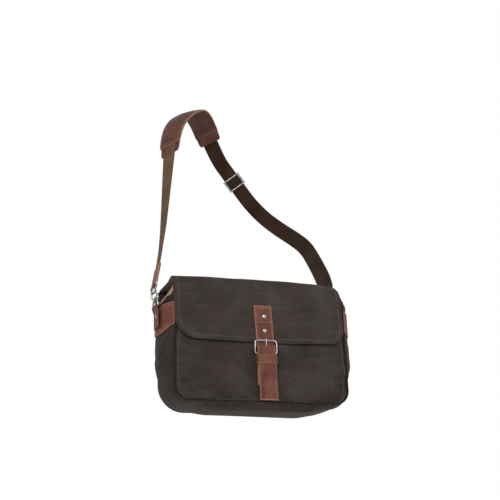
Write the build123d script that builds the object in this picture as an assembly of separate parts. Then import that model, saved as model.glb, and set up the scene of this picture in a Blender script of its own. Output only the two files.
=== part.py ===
"""Messenger bag of waxed canvas with leather trim, worn on a long shoulder strap.

Everything is drawn about the bag itself: X to the right, Y from the flap's front to the wearer's back,
Z up, with zero at the front panel's bottom seam. Each part is then moved so that the finished model's
origin is where the shoulder pad rests on the wearer's shoulder.
"""
from build123d import *
from math import cos, hypot, radians, sin, tan
import os

# ---------------------------------------------------------------- driving dimensions (mm)
HALF_WIDTH = 190.0        # front panel, side seam to middle
HALF_DEPTH = 60.0         # front seam and back seam from the middle plane
PANEL_BULGE = 10.0        # how far the front panel crowns at its middle
CORNER_R = 32.0           # bottom corners of the front and back panels
FRONT_TOP = 252.0         # top edge of the front panel, under the flap
BACK_TOP = 258.0          # top edge of the back panel, where the flap is sewn on
CANVAS = 1.6              # waxed canvas of the panels
PADDING = 4.0             # foam behind the front and back panels
LINING = 0.8              # lining cloth
LEATHER = 1.8             # trim leather
GUSSET_CHORD = 58.4       # half depth of the gusset strip between its two seams
GUSSET_RISE = 17.0        # how far the gusset puffs out between its seams
GUSSET_WALL = 1.5
GUSSET_LINE = 1.6         # inner face of the gusset's foam, inside the line of its seams
MOUTH_DIP = 54.0          # the gusset's top edge drops this far at its middle
WELT = 2.4                # corded welt round the panel seams

BAND_BOTTOM = 158.0       # leather band across each side of the bag
BAND_TOP = 203.0
RING_X = 211.2            # D-rings stand just outside the bands
RING_Z = 208.0            # straight bar of each D-ring, and the centre of its round rim
RING_R = 21.0             # wire centre line of the round rim
RING_WIRE = 2.0
TAB_HALF = 18.0           # half width of the leather tab that holds a D-ring
TAB_RIVET_Z = 187.0

FLAP_HALF = 187.0
FLAP_TOP_Z = 259.0        # underside of the flap's top
FLAP_BOTTOM = 123.0
FLAP_CORNER = 40.0
FLAP_CANVAS = 1.4
FLAP_REAR_Y = 58.0
FLAP_GAP = 1.0            # air between the flap and the front panel
FOLD_GAP = 1.1            # air between the flap's top and its front, at the fold
FLAP_PLY_GAP = 0.1        # air between the flap's lining and its canvas
FLAP_SKIN = -HALF_DEPTH - PANEL_BULGE - FLAP_GAP - LINING - FLAP_PLY_GAP - FLAP_CANVAS  # flap's front, Y

CLOSURE_X = 3.0           # the closure sits a little to the right of the bag's middle
BELT_HALF = 19.0          # the closure belt is as wide as the strap: 38 mm
BELT_THICK = 3.0
BELT_TOP = 200.0
BELT_END = 1.0
BELT_RIVETS = (178.0, 147.0)
BUCKLE_WIRE = 1.75
BUCKLE_HALF = 23.75       # wire centre line, middle to side bar
HEEL_Y, HEEL_Z = -77.0, 97.0      # bar that the chape is folded round
CATCH_Y, CATCH_Z = -78.45, 125.6  # bar that the prong rests on
PRONG_WIRE = 1.3
CHAPE_THICK = 3.2
CHAPE_END = 32.0
SNAP_Z = 44.0
KEEPER_LOW, KEEPER_HIGH = 75.0, 94.0

STRAP_WIDTH = 38.0
STRAP_THICK = 2.2
STRAP_END_LENGTH = 52.0   # leather end sewn over the webbing at each hook
PAD_WIDTH = 60.0
PAD_AIR = 0.2             # play between the webbing and the pad's sleeve
PAD_FOAM = 5.0            # padded underside that lies on the shoulder
STATIONS = 160            # equal steps along the strap, one cross section at each
PAD_START, PAD_END = 44, 81        # the stations between which the pad's underside lies
COVER_START, COVER_END = 47, 78    # its sewn cover stops short of it at both ends
SLIDER_SHARE = 0.597      # where the adjuster sits, as a share of the strap's length
FIT = 0.05                # radial clearance of a pin in its hole

EYE_HEIGHT = 49.0         # from a D-ring's centre to the bar that the strap's end is folded round
EYE_WIRE = 1.75
HOOK_WIRE = 2.2
HOOK_PLAY = 0.7           # air between a hook's throat and the D-ring's rim
HOOK_TILT = {"left": 12.9, "right": 42.2}   # each hook leans back, in line with its end of the strap
SIDES = {"left": -1, "right": 1}


def eye_centre(side):
    """Middle of the eye bar that one end of the strap is folded round."""
    lean = radians(HOOK_TILT[side])
    return (SIDES[side] * RING_X, EYE_HEIGHT * sin(lean), RING_Z + EYE_HEIGHT * cos(lean))


# The strap's centre line, from the left hook over the shoulder, down across the chest and round the
# waist to the right hook: points chosen by hand, each with the way that its outer face looks.
STRAP_ROUTE = [
    (eye_centre("left"), (-0.971, 0.053, 0.232)),
    ((-187, 33, 352), (-0.971, 0.053, 0.232)),
    ((-167, 65, 483), (-0.96, -0.20, 0.20)),
    ((-148, 97, 612), (-0.88, -0.47, 0.20)),
    ((-141, 106, 655), (-0.80, -0.58, 0.20)),
    ((-129, 116, 692), (-0.70, -0.60, 0.38)),
    ((-108, 131, 724), (-0.52, -0.52, 0.67)),
    ((-82, 150, 748), (-0.34, -0.34, 0.87)),
    ((-58, 172, 760), (-0.20, -0.05, 0.98)),
    ((-34, 203, 757), (-0.10, 0.30, 0.95)),
    ((-12, 234, 742), (0.00, 0.60, 0.80)),
    ((12, 262, 718), (0.08, 0.85, 0.52)),
    ((38, 284, 688), (0.10, 0.97, 0.21)),
    ((120, 297, 588), (0.10, 0.97, 0.21)),
    ((155, 290, 548), (0.30, 0.94, 0.10)),
    ((188, 272, 514), (0.55, 0.83, 0.00)),
    ((214, 244, 482), (0.75, 0.64, -0.10)),
    ((229, 210, 449), (0.82, 0.48, -0.30)),
    ((232, 176, 408), (0.82, 0.45, -0.36)),
    ((226, 118, 338), (0.80, 0.45, -0.40)),
    ((217.8, 71.6, 287), (0.993, -0.078, -0.086)),
    (eye_centre("right"), (0.993, -0.078, -0.086)),
]
SHOULDER = (-66.0, 165.0, 751.0)   # underside of the pad on top of the shoulder: the model's origin


def save(shape, name):
    """Write one node, moved so that the shoulder rest is the origin."""
    x, y, z = SHOULDER
    export_step(Pos(-x, -y, -z) * shape, f"parts/{name}.step")


# ---------------------------------------------------------------- shared shapes
def outline(half, bottom, top, corner, grow=0.0):
    """Upright panel outline in the XZ plane: square top, rounded bottom corners."""
    low = bottom - grow
    width = half + grow
    radius = corner + grow
    points = [(-width, top), (-width, low), (width, low), (width, top)]
    edge = FilletPolyline(*points, radius=radius)
    return Plane.XZ * make_face(edge.edges() + [Line(points[-1], points[0])])


def prism(face):
    """A panel outline carried through the whole depth of the bag."""
    return extrude(face, 150, both=True)


def crowned_slab(front_edge, thickness, bottom, top, bulge=PANEL_BULGE, half=260.0):
    """Slab whose front and back faces bow forward by the bulge at the middle, the same in every layer."""
    rise = bulge * (half / HALF_WIDTH) ** 2
    edge = front_edge + rise - bulge
    middle = front_edge - bulge
    front = ThreePointArc((-half, edge), (0, middle), (half, edge))
    back = ThreePointArc((half, edge + thickness), (0, middle + thickness), (-half, edge + thickness))
    ends = [Line(front @ 1, back @ 0), Line(back @ 1, front @ 0)]
    face = make_face([front, ends[0], back, ends[1]])
    return extrude(Pos(0, 0, bottom) * face, top - bottom)


def block(x_range, y_range, z_range):
    """Box from its lowest to its highest corner."""
    sizes = [high - low for low, high in (x_range, y_range, z_range)]
    middle = [(high + low) / 2 for low, high in (x_range, y_range, z_range)]
    return Pos(*middle) * Box(*sizes)


def rod(start, end, radius):
    """Round bar between two points."""
    line = Line(start, end)
    return sweep(Plane(line @ 0, z_dir=line % 0) * Circle(radius), path=line)


def side_profile(inner, outer, half_chord=GUSSET_CHORD):
    """Curved strip of the left side seen from above, between two offsets from the gusset's outer face."""
    radius = (GUSSET_CHORD**2 + GUSSET_RISE**2) / (2 * GUSSET_RISE)
    centre = radius - HALF_WIDTH - GUSSET_RISE
    ring = Circle(radius + outer) - Circle(radius + inner)
    keep = Pos(-radius, 0) * Rectangle(2 * GUSSET_RISE + 90, 2 * half_chord)
    return Pos(centre, 0) * (ring & keep)


def mouth_region(drop=0.0, low=-40.0):
    """Everything below the mouth's dipping edge, less a margin, seen from the side of the bag."""
    top = BACK_TOP - 2 - drop
    middle = top - MOUTH_DIP
    dip = ThreePointArc((HALF_DEPTH, top), (0, middle), (-HALF_DEPTH, top))
    rim = Polyline((-HALF_DEPTH, top), (-90, top), (-90, low), (90, low), (90, top), (HALF_DEPTH, top))
    return extrude(Plane.YZ * make_face(dip.edges() + rim.edges()), 300, both=True)


def mirrored(shape, side):
    """Parts are drawn for the left side; the right side is their mirror image."""
    return shape if side == "left" else mirror(shape, Plane.YZ)


# ---------------------------------------------------------------- the bag's body
def panel_parts():
    """Front and back panels with the padding behind each."""
    front = outline(HALF_WIDTH, 0, FRONT_TOP, CORNER_R)
    padding = outline(HALF_WIDTH - 8, 8, FRONT_TOP - 8, CORNER_R - 6)
    back = outline(HALF_WIDTH, 0, BACK_TOP, CORNER_R)
    layer = crowned_slab(-HALF_DEPTH, CANVAS, -5, BACK_TOP)
    foam = crowned_slab(-HALF_DEPTH + CANVAS, PADDING, -5, BACK_TOP)
    socket_hole = Pos(CLOSURE_X, -HALF_DEPTH - PANEL_BULGE, SNAP_Z) * Rot(X=90) * Cylinder(2.0, 8)
    save((layer & prism(front)) - socket_hole, "front_panel")
    save(foam & prism(padding), "front_padding")
    span = (HALF_DEPTH - CANVAS, HALF_DEPTH)
    wide = (-HALF_WIDTH, HALF_WIDTH)
    save(prism(back) & block(wide, span, (-5, BACK_TOP)), "back_panel")
    span = (HALF_DEPTH - CANVAS - PADDING, HALF_DEPTH - CANVAS)
    save(prism(padding) & block(wide, span, (-5, BACK_TOP)), "back_padding")


def gusset_strip():
    """One strip of canvas down one side, along the bottom and up the other side, puffed outward."""
    corners = [(-HALF_WIDTH, BACK_TOP), (-HALF_WIDTH, 0), (HALF_WIDTH, 0), (HALF_WIDTH, BACK_TOP)]
    path = Plane.XZ * FilletPolyline(*corners, radius=CORNER_R)
    strip = side_profile(-GUSSET_WALL, 0)
    turn_in = Pos(-HALF_WIDTH + GUSSET_WALL / 2, -GUSSET_CHORD - 6) * Rectangle(GUSSET_WALL, 14)
    section = Pos(0, 0, BACK_TOP) * (strip + turn_in)
    whole = sweep(section, path=path)
    behind_front = crowned_slab(-HALF_DEPTH + CANVAS, 2 * HALF_DEPTH + 40, -60, 300)
    before_back = block((-260, 260), (-90, HALF_DEPTH - CANVAS), (-60, 300))
    return whole & behind_front & before_back & mouth_region()


def gusset_padding():
    """Foam that fills the puffed gusset all the way round, up to just below the mouth."""
    radius = (GUSSET_CHORD**2 + GUSSET_RISE**2) / (2 * GUSSET_RISE)
    inside = Pos(radius - HALF_WIDTH - GUSSET_RISE) * Circle(radius - GUSSET_WALL - 0.1)
    flat = -HALF_WIDTH + GUSSET_LINE
    bay = Pos(flat - 20, 0) * Rectangle(40, 2 * GUSSET_CHORD - 5)
    corners = [(-HALF_WIDTH, BACK_TOP), (-HALF_WIDTH, 0), (HALF_WIDTH, 0), (HALF_WIDTH, BACK_TOP)]
    path = Plane.XZ * FilletPolyline(*corners, radius=CORNER_R)
    foam = sweep(Pos(0, 0, BACK_TOP) * (inside & bay), path=path)
    return foam & mouth_region(drop=20)


def welts():
    """Corded welts that frame the front and back panels along their seams."""
    proud = 1.2
    cord = crowned_slab(-HALF_DEPTH - proud, CANVAS + proud, -5, BACK_TOP)
    flat = block((-200, 200), (HALF_DEPTH - CANVAS, HALF_DEPTH), (-5, BACK_TOP))
    for name, top, layer in (("front_welt", FRONT_TOP, cord), ("back_welt", BACK_TOP, flat)):
        frame = outline(HALF_WIDTH, 0, top, CORNER_R, WELT) - outline(HALF_WIDTH, 0, top, CORNER_R)
        save(layer & prism(frame), name)


def lining_bag():
    """Thin inner bag, open at the top."""
    inset = 4
    half = HALF_WIDTH - inset
    corner = CORNER_R - inset
    reach = HALF_DEPTH - CANVAS - PADDING - 0.2
    deep = block((-200, 200), (-reach, reach), (-5, FRONT_TOP - 6))
    inner = block((-200, 200), (-reach + LINING, reach - LINING), (-5, FRONT_TOP))
    outer_shape = prism(outline(half, inset, FRONT_TOP - 6, corner)) & deep
    inner_shape = prism(outline(half, inset, FRONT_TOP, corner, -LINING)) & inner
    return outer_shape - inner_shape


def side_trim(gusset):
    """Leather band, D-ring tab, rivet and mouth facing on each side. Returns the drilled gusset."""
    rim = Pos(0, 0, BAND_BOTTOM) * side_profile(0, LEATHER, GUSSET_CHORD - 0.6)
    band = extrude(rim, BAND_TOP - BAND_BOTTOM)
    face = HALF_WIDTH + GUSSET_RISE + LEATHER
    tab = ring_tab(face)
    head = face + LEATHER + 0.1
    shank = rod((-head - 0.6, 0, TAB_RIVET_Z), (-head + 5.9, 0, TAB_RIVET_Z), 1.5)
    dome = Pos(-head, 0, TAB_RIVET_Z) * Rot(Y=-90) * rivet_head(4.0, 1.6)
    burr = rod((-head + 5.9, 0, TAB_RIVET_Z), (-head + 6.9, 0, TAB_RIVET_Z), 3.4)
    rivet = dome + shank + burr
    drill = rod((-head - 9, 0, TAB_RIVET_Z), (-head + 9, 0, TAB_RIVET_Z), 1.5)
    facing = extrude(Pos(0, 0, 150) * side_profile(-GUSSET_WALL - 1.0, -GUSSET_WALL, GUSSET_CHORD - 2), 120)
    facing = (facing & mouth_region()) - mouth_region(drop=9)
    for side in SIDES:
        save(mirrored(band - drill, side), f"side_band_{side}")
        save(mirrored(tab - drill, side), f"ring_tab_{side}")
        save(mirrored(rivet, side), f"tab_rivet_{side}")
        save(mirrored(facing, side), f"mouth_facing_{side}")
        gusset -= mirrored(drill, side)
    return gusset


def ring_tab(face):
    """Leather tab folded round the D-ring's bar, with its tail down the side band."""
    inner = RING_WIRE + FIT
    outer = inner + LEATHER
    near, far = -face - 0.1, -face - 0.1 - LEATHER
    tail = Polyline(
        (-RING_X - outer, RING_Z), (far, BAND_TOP - 8), (far, BAND_BOTTOM + 4),
        (near, BAND_BOTTOM + 4), (near, BAND_TOP - 7), (-RING_X - inner, RING_Z), close=True)
    loop = Pos(-RING_X, RING_Z) * Circle(outer)
    hole = Pos(-RING_X, RING_Z) * Circle(inner)
    section = Plane.XZ * ((loop + make_face(tail)) - hole)
    return extrude(section, TAB_HALF - 0.5, both=True)


def rivet_head(radius, height):
    """Domed rivet head standing on the XY plane."""
    ball = (radius**2 + height**2) / (2 * height)
    return (Pos(0, 0, height - ball) * Sphere(ball)) & (Pos(0, 0, height / 2) * Box(30, 30, height))


def d_ring():
    """Round wire D: straight bar along Y with a half-round rim above it."""
    rim = revolve(Plane.XY * Pos(0, RING_R) * Circle(RING_WIRE), Axis.X, 180)
    bar = rod((0, -RING_R, 0), (0, RING_R, 0), RING_WIRE)
    ends = [Pos(0, y, 0) * Sphere(RING_WIRE) for y in (-RING_R, RING_R)]
    return rim + bar + ends[0] + ends[1]


def bag_body():
    panel_parts()
    welts()
    save(side_trim(gusset_strip()), "gusset")
    save(gusset_padding(), "gusset_padding")
    save(lining_bag(), "lining")
    save(block((-157, 157), (-50, 50), (1.8, 4.0)), "base_board")
    face = -HALF_DEPTH - PANEL_BULGE
    rim = rod((0, face - 1.7, SNAP_Z), (0, face, SNAP_Z), 9)
    well = rod((0, face - 2, SNAP_Z), (0, face, SNAP_Z), 3.2)
    save(Pos(CLOSURE_X) * (rim - well), "snap_socket")
    for side, sign in SIDES.items():
        save(Pos(sign * RING_X, 0, RING_Z) * d_ring(), f"d_ring_{side}")


# ---------------------------------------------------------------- the flap and its closure
def flap_layer(offset, thickness, bottom):
    """One layer of the flap's front, its rear face at an offset before the front panel's outer face."""
    shape = outline(FLAP_HALF, bottom, FLAP_TOP_Z, FLAP_CORNER)
    slab = crowned_slab(-HALF_DEPTH - offset - thickness, thickness, 0, 300)
    return slab & prism(shape)


def flap_top_layer(bottom, thickness):
    """One layer of the flap's top, its front edge following the bowed fold."""
    sheet = block((-FLAP_HALF, FLAP_HALF), (-90, FLAP_REAR_Y), (bottom, bottom + thickness))
    return sheet & crowned_slab(-HALF_DEPTH - FLAP_GAP + FOLD_GAP, 300, 200, 300)


def belt_strip(front_line, thickness, half):
    """Leather strip across X whose front face follows a line of (y, z) points."""
    back_line = [(y + thickness, z) for y, z in reversed(front_line)]
    face = make_face(Polyline(*front_line, *back_line, close=True))
    return extrude(Plane.YZ * face, half, both=True)


def closure_belt():
    """Belt riveted to the flap, led under the buckle's catch bar, over its heel bar and down."""
    on_flap = FLAP_SKIN - BELT_THICK
    over_heel = HEEL_Y - BUCKLE_WIRE - 2.0 - BELT_THICK
    line = [(on_flap, BELT_TOP), (on_flap, CATCH_Z - 5.6), (over_heel, HEEL_Z + 5), (over_heel, 66),
            (over_heel + 3.5, 48), (over_heel + 3.5, BELT_END)]
    belt = belt_strip(line, BELT_THICK, BELT_HALF)
    slot = block((-2.6, 2.6), (-100, -60), (HEEL_Z - 3, CATCH_Z - 4))
    return belt - slot


def chape():
    """Leather folded round the buckle's heel bar and running down behind the belt."""
    inner = BUCKLE_WIRE + FIT
    front = HEEL_Y - inner - 1.6
    line = [(front, HEEL_Z), (front, HEEL_Z - 9), (front + 3.95, 62), (front + 3.95, CHAPE_END)]
    tongue = belt_strip(line, CHAPE_THICK, BELT_HALF - 0.5)
    loop = Plane.YZ * (Pos(HEEL_Y, HEEL_Z) * Circle(inner + 1.6))
    hole = Plane.YZ * (Pos(HEEL_Y, HEEL_Z) * Circle(inner))
    body = tongue + extrude(loop, BELT_HALF - 0.5, both=True)
    body -= extrude(hole, 40, both=True)
    return body - block((-2.4, 2.4), (-90, -70), (HEEL_Z - 5, HEEL_Z + 10))


def buckle_frame():
    """Round wire frame with rounded corners, leaning with its two bars."""
    height = hypot(CATCH_Z - HEEL_Z, CATCH_Y - HEEL_Y)
    path = RectangleRounded(2 * BUCKLE_HALF, height, 6).wire()
    wire = sweep(Plane(path @ 0, z_dir=path % 0) * Circle(BUCKLE_WIRE), path=path)
    up = Vector(0, CATCH_Y - HEEL_Y, CATCH_Z - HEEL_Z)
    middle = Vector(0, (CATCH_Y + HEEL_Y) / 2, (CATCH_Z + HEEL_Z) / 2)
    stand = Plane(middle, x_dir=(1, 0, 0), z_dir=Vector(1, 0, 0).cross(up))
    return stand * wire


def buckle_prong():
    """Prong that turns on the heel bar, with its tip over the catch bar."""
    knuckle = rod((-1.5, HEEL_Y, HEEL_Z), (1.5, HEEL_Y, HEEL_Z), BUCKLE_WIRE + FIT + 1.5)
    bore = rod((-3, HEEL_Y, HEEL_Z), (3, HEEL_Y, HEEL_Z), BUCKLE_WIRE + FIT)
    lift = CATCH_Y - BUCKLE_WIRE - PRONG_WIRE - 0.15
    root = (0, HEEL_Y - BUCKLE_WIRE - 1.2, HEEL_Z + 1)
    tip = (0, lift, CATCH_Z + 1.6)
    return (knuckle + rod(root, tip, PRONG_WIRE) + Pos(*tip) * Sphere(PRONG_WIRE)) - bore


def keeper():
    """Leather loop round the belt and the chape, below the buckle."""
    front = HEEL_Y - BUCKLE_WIRE - 2.0 - BELT_THICK - 0.3
    back = HEEL_Y + BUCKLE_WIRE + FIT + 1.6 + 0.3
    reach = BELT_HALF + 0.5
    wall = 1.5
    span = (KEEPER_LOW, KEEPER_HIGH)
    outer = block((-reach - wall, reach + wall), (front - wall, back + 1.2), span)
    outer = fillet(outer.edges().filter_by(Axis.Z), 1.1)
    return outer - block((-reach, reach), (front, back), (0, 200))


def snap_stud():
    """Magnetic stud on the back of the chape, with a post that enters the socket."""
    face = -HALF_DEPTH - PANEL_BULGE
    seat = HEEL_Y - BUCKLE_WIRE - FIT - 1.6 + 3.95 + CHAPE_THICK
    disc = rod((0, seat, SNAP_Z), (0, seat + 1.1, SNAP_Z), 8)
    return disc + rod((0, seat + 1.1, SNAP_Z), (0, face - 0.5, SNAP_Z), 2)


def flap():
    """Flap layers, the riveted belt and the buckle parts that ride on the flap."""
    lining = flap_layer(FLAP_GAP, LINING, FLAP_BOTTOM + 1)
    canvas = flap_layer(FLAP_GAP + LINING + FLAP_PLY_GAP, FLAP_CANVAS, FLAP_BOTTOM)
    aside = Pos(CLOSURE_X)
    belt = aside * closure_belt()
    face = FLAP_SKIN - BELT_THICK
    inside = -HALF_DEPTH - PANEL_BULGE - FLAP_GAP
    rivets = []
    caps = []
    for z in BELT_RIVETS:
        dome = Pos(0, face, z) * Rot(X=90) * rivet_head(4.2, 1.8)
        rivets.append(aside * (dome + rod((0, face, z), (0, inside, z), 1.5)))
        drill = aside * rod((0, face - 5, z), (0, inside + 5, z), 1.5)
        belt -= drill
        canvas -= drill
        lining -= drill
        caps.append(aside * rod((0, inside + 0.05, z), (0, inside + 0.65, z), 4))
    save(lining, "flap_front_lining")
    save(canvas, "flap_front_canvas")
    save(belt, "closure_belt")
    save(Compound(children=rivets), "belt_rivets")
    save(Compound(children=caps), "belt_rivet_caps")
    save(flap_top_layer(FLAP_TOP_Z, LINING), "flap_top_lining")
    save(flap_top_layer(FLAP_TOP_Z + LINING + FLAP_PLY_GAP, FLAP_CANVAS), "flap_top_canvas")
    save(aside * chape(), "closure_chape")
    save(aside * snap_stud(), "snap_stud")
    save(aside * buckle_frame(), "buckle_frame")
    save(aside * buckle_prong(), "buckle_prong")
    save(aside * keeper(), "belt_keeper")


# ---------------------------------------------------------------- the strap
def route_wire():
    """The strap's centre line: straight runs joined by arcs as large as their runs allow."""
    points = [Vector(*point) for point, _ in STRAP_ROUTE]
    radii = []
    for before, here, after in zip(points, points[1:], points[2:]):
        turn = radians((here - before).get_angle(after - here))
        shorter = min((here - before).length, (after - here).length)
        radii.append(0.45 * shorter / tan(turn / 2))
    print("strap bend radii:", [round(radius) for radius in radii])
    return FilletPolyline(*points, radius=radii)


def route_shares():
    """How far along the strap each route point is, as a share of the whole length."""
    points = [Vector(*point) for point, _ in STRAP_ROUTE]
    lengths = [0.0]
    for before, here in zip(points, points[1:]):
        lengths.append(lengths[-1] + (here - before).length)
    return [length / lengths[-1] for length in lengths]


def strap_frame(wire, shares, share):
    """Point, direction, outer-face normal and width direction of the strap at a share of its length."""
    after = next(i for i in range(1, len(shares)) if share <= shares[i] + 1e-9)
    blend = (share - shares[after - 1]) / (shares[after] - shares[after - 1])
    before_normal = Vector(*STRAP_ROUTE[after - 1][1])
    after_normal = Vector(*STRAP_ROUTE[after][1])
    along = wire % share
    facing = before_normal * (1 - blend) + after_normal * blend
    normal = (facing - along * facing.dot(along)).normalized()
    return wire @ share, along, normal, along.cross(normal)


def facet(corners):
    """One flat face through its corners."""
    return Face(Wire.make_polygon(corners, close=True))


def strip_solid(wire, shares, first, last, section):
    """Closed solid of flat facets that carries an (across, out) section from one station to another."""
    rings = []
    for station in range(first, last + 1):
        point, _, normal, across = strap_frame(wire, shares, station / STATIONS)
        rings.append([point + across * a + normal * n for a, n in section])
    faces = [facet(rings[0]), facet(rings[-1])]
    # Every quad is split along the same diagonal, so the facets of neighbouring strips stay parallel.
    pairs = [sorted((i, i - 1), key=lambda corner: section[corner][0]) for i in range(len(section))]
    for ring, following in zip(rings, rings[1:]):
        for low, high in pairs:
            faces.append(facet([ring[low], ring[high], following[high]]))
            faces.append(facet([ring[low], following[high], following[low]]))
    return Solid(Shell(faces))


def strap_end(wire, shares, at_start):
    """Leather end folded round the eye bar and sewn over both faces of the webbing."""
    share = 0.0 if at_start else 1.0
    point, along, _, across = strap_frame(wire, shares, share)
    if not at_start:
        along = along * -1
    inner = EYE_WIRE + FIT
    slot = STRAP_THICK / 2 + 0.05
    outside = slot + LEATHER
    # Local X runs along the strap away from the hook, local Y through its thickness.
    here = Plane(point, x_dir=along, z_dir=across)
    body = Polyline((0, inner + LEATHER), (12, outside), (STRAP_END_LENGTH, outside),
                    (STRAP_END_LENGTH, -outside), (12, -outside), (0, -inner - LEATHER), close=True)
    shape = make_face(body) + Circle(inner + LEATHER)
    shape -= Circle(inner)
    shape -= Pos(STRAP_END_LENGTH / 2 + 10, 0) * Rectangle(STRAP_END_LENGTH, 2 * slot)
    return extrude(here * shape, STRAP_WIDTH / 2, both=True)


def swivel_eye():
    """Rectangular eye over a drilled base, drawn with the D-ring's centre at zero."""
    low = 40.5
    path = Plane.YZ * RectangleRounded(STRAP_WIDTH + 7, EYE_HEIGHT - low, 3)
    ring = path.face().outer_wire()
    frame = sweep(Plane(ring @ 0, z_dir=ring % 0) * Circle(EYE_WIRE), path=ring)
    base = rod((0, 0, 38.8), (0, 0, 42.2), 5)
    return (Pos(0, 0, (EYE_HEIGHT + low) / 2) * frame + base) - rod((0, 0, 30), (0, 0, 44), 2 + FIT)


def hook_body():
    """Snap hook: bent wire jaw, collar, swivel stem and the two lugs that carry the gate's pin."""
    reach = 7.3
    floor = RING_R - RING_WIRE - HOOK_PLAY - HOOK_WIRE
    centre = floor + reach
    back = Line((reach, 31), (reach, centre))
    bend = ThreePointArc((reach, centre), (0, floor), (-reach, centre))
    nose = Line((-reach, centre), (-reach, centre + 3))
    jaw = rod((0, 0, 36), (reach, 0, 31), HOOK_WIRE) + Pos(reach, 0, 31) * Sphere(HOOK_WIRE)
    path = Plane.XZ * Wire([back, bend, nose])
    jaw += sweep(Plane(path @ 0, z_dir=path % 0) * Circle(HOOK_WIRE), path=path)
    collar = rod((0, 0, 36), (0, 0, 38.5), 4.2)
    stem = rod((0, 0, 38.5), (0, 0, 42.4), 2) + rod((0, 0, 42.3), (0, 0, 43.6), 3)
    lugs = block((-7.4, 0), (2.4, 3.6), (32.2, 37)) + block((-7.4, 0), (-3.6, -2.4), (32.2, 37))
    pin = rod((-5.6, -3.6, 33.8), (-5.6, 3.6, 33.8), 1)
    return jaw + collar + stem + lugs + pin


def hook_gate():
    """Sprung gate that closes the hook's mouth, turning on the pin between the lugs."""
    barrel = rod((-5.6, -2.2, 33.8), (-5.6, 2.2, 33.8), 1.9)
    lever = rod((-6.0, 0, 32.6), (-7.3, 0, 28.6), 1.4) + Pos(-7.3, 0, 28.6) * Sphere(1.4)
    return (barrel + lever) - rod((-5.6, -4, 33.8), (-5.6, 4, 33.8), 1 + FIT)


def slider(wire, shares):
    """Adjuster with two outer bars behind the webbing and one middle bar before it."""
    point, along, normal, across = strap_frame(wire, shares, SLIDER_SHARE)
    here = Plane(point, x_dir=across, z_dir=normal)
    bar = 1.6
    gap = STRAP_THICK / 2 + 0.35 + bar
    half = STRAP_WIDTH / 2 + 1 + bar
    rails = [block((sign * half - bar, sign * half + bar), (-16, 16), (-3.2, 3.2)) for sign in (-1, 1)]
    bars = [rod((-half, y, z), (half, y, z), bar) for y, z in ((-14, -gap), (0, gap), (14, -gap))]
    print("slider runs along", [round(v, 5) for v in along])
    print("slider is centred on", [round(v, 2) for v in point])
    return here * (rails[0] + rails[1] + bars[0] + bars[1] + bars[2])


def strap():
    """Webbing, leather ends, hooks, shoulder pad and adjuster."""
    wire = route_wire()
    shares = route_shares()
    print("strap length:", round(wire.length, 1))
    half = STRAP_WIDTH / 2
    thick = STRAP_THICK / 2
    webbing = [(-half, -thick), (half, -thick), (half, thick), (-half, thick)]
    save(strip_solid(wire, shares, 2, STATIONS - 2, webbing), "strap_webbing")
    wide = PAD_WIDTH / 2
    rail = half + 0.3
    inner = thick + PAD_AIR
    outer = inner + LEATHER
    cover = [(-wide, inner), (-rail, inner), (rail, inner), (wide, inner),
             (wide, outer), (rail, outer), (-rail, outer), (-wide, outer)]
    save(strip_solid(wire, shares, COVER_START, COVER_END, cover), "shoulder_pad_cover")
    under = -inner - PAD_FOAM
    base = [(-wide, under), (-rail, under), (rail, under), (wide, under), (wide, inner), (rail, inner),
            (rail, -inner), (-rail, -inner), (-rail, inner), (-wide, inner)]
    save(strip_solid(wire, shares, PAD_START, PAD_END, base), "shoulder_pad_base")
    save(slider(wire, shares), "strap_slider")
    for side, sign in SIDES.items():
        save(strap_end(wire, shares, side == "left"), f"strap_end_{side}")
        here = Pos(sign * RING_X, 0, RING_Z) * Rot(X=-HOOK_TILT[side])
        save(here * swivel_eye(), f"swivel_eye_{side}")
        save(here * mirrored(hook_body(), side), f"snap_hook_{side}")
        save(here * mirrored(hook_gate(), side), f"hook_gate_{side}")


os.makedirs("parts", exist_ok=True)
bag_body()
flap()
strap()
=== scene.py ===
import bmesh
import bpy
import numpy as np
from mathutils import Matrix, Vector


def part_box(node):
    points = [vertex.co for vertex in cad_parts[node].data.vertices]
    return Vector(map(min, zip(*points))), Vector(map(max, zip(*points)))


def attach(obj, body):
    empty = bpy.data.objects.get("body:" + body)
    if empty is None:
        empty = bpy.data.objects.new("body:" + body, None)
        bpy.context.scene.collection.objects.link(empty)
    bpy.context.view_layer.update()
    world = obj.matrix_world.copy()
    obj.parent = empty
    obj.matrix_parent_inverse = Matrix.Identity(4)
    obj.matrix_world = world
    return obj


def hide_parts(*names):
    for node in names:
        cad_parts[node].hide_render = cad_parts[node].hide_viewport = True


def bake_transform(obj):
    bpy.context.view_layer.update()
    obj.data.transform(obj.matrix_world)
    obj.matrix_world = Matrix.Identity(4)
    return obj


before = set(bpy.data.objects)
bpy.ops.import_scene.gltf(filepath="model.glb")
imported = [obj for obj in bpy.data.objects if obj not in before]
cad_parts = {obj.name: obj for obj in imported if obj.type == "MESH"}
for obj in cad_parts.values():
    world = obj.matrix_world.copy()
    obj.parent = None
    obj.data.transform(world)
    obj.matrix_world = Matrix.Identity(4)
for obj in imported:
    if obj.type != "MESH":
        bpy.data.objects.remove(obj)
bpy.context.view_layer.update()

# Sizes are in millimetres about the bag's own zero: X to the right from the middle, Y from the middle
# plane towards the wearer's back, Z up from the front panel's bottom seam.
MM = 0.001
PANEL_LOW, PANEL_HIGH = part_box("front_panel")
HALF_WIDTH = (PANEL_HIGH.x - PANEL_LOW.x) / 2 / MM
HALF_DEPTH = 60.0
BAG_ZERO = np.array([
    (PANEL_LOW.x + PANEL_HIGH.x) / 2,
    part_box("back_panel")[1].y - HALF_DEPTH * MM,
    PANEL_LOW.z,
])
SIDES = ((-1, "left"), (1, "right"))
PANEL_BULGE = 10.0
CORNER_R = 32.0
BACK_CORNER_R = 52.0      # the back panel's bottom corners sag rounder than the front's
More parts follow.
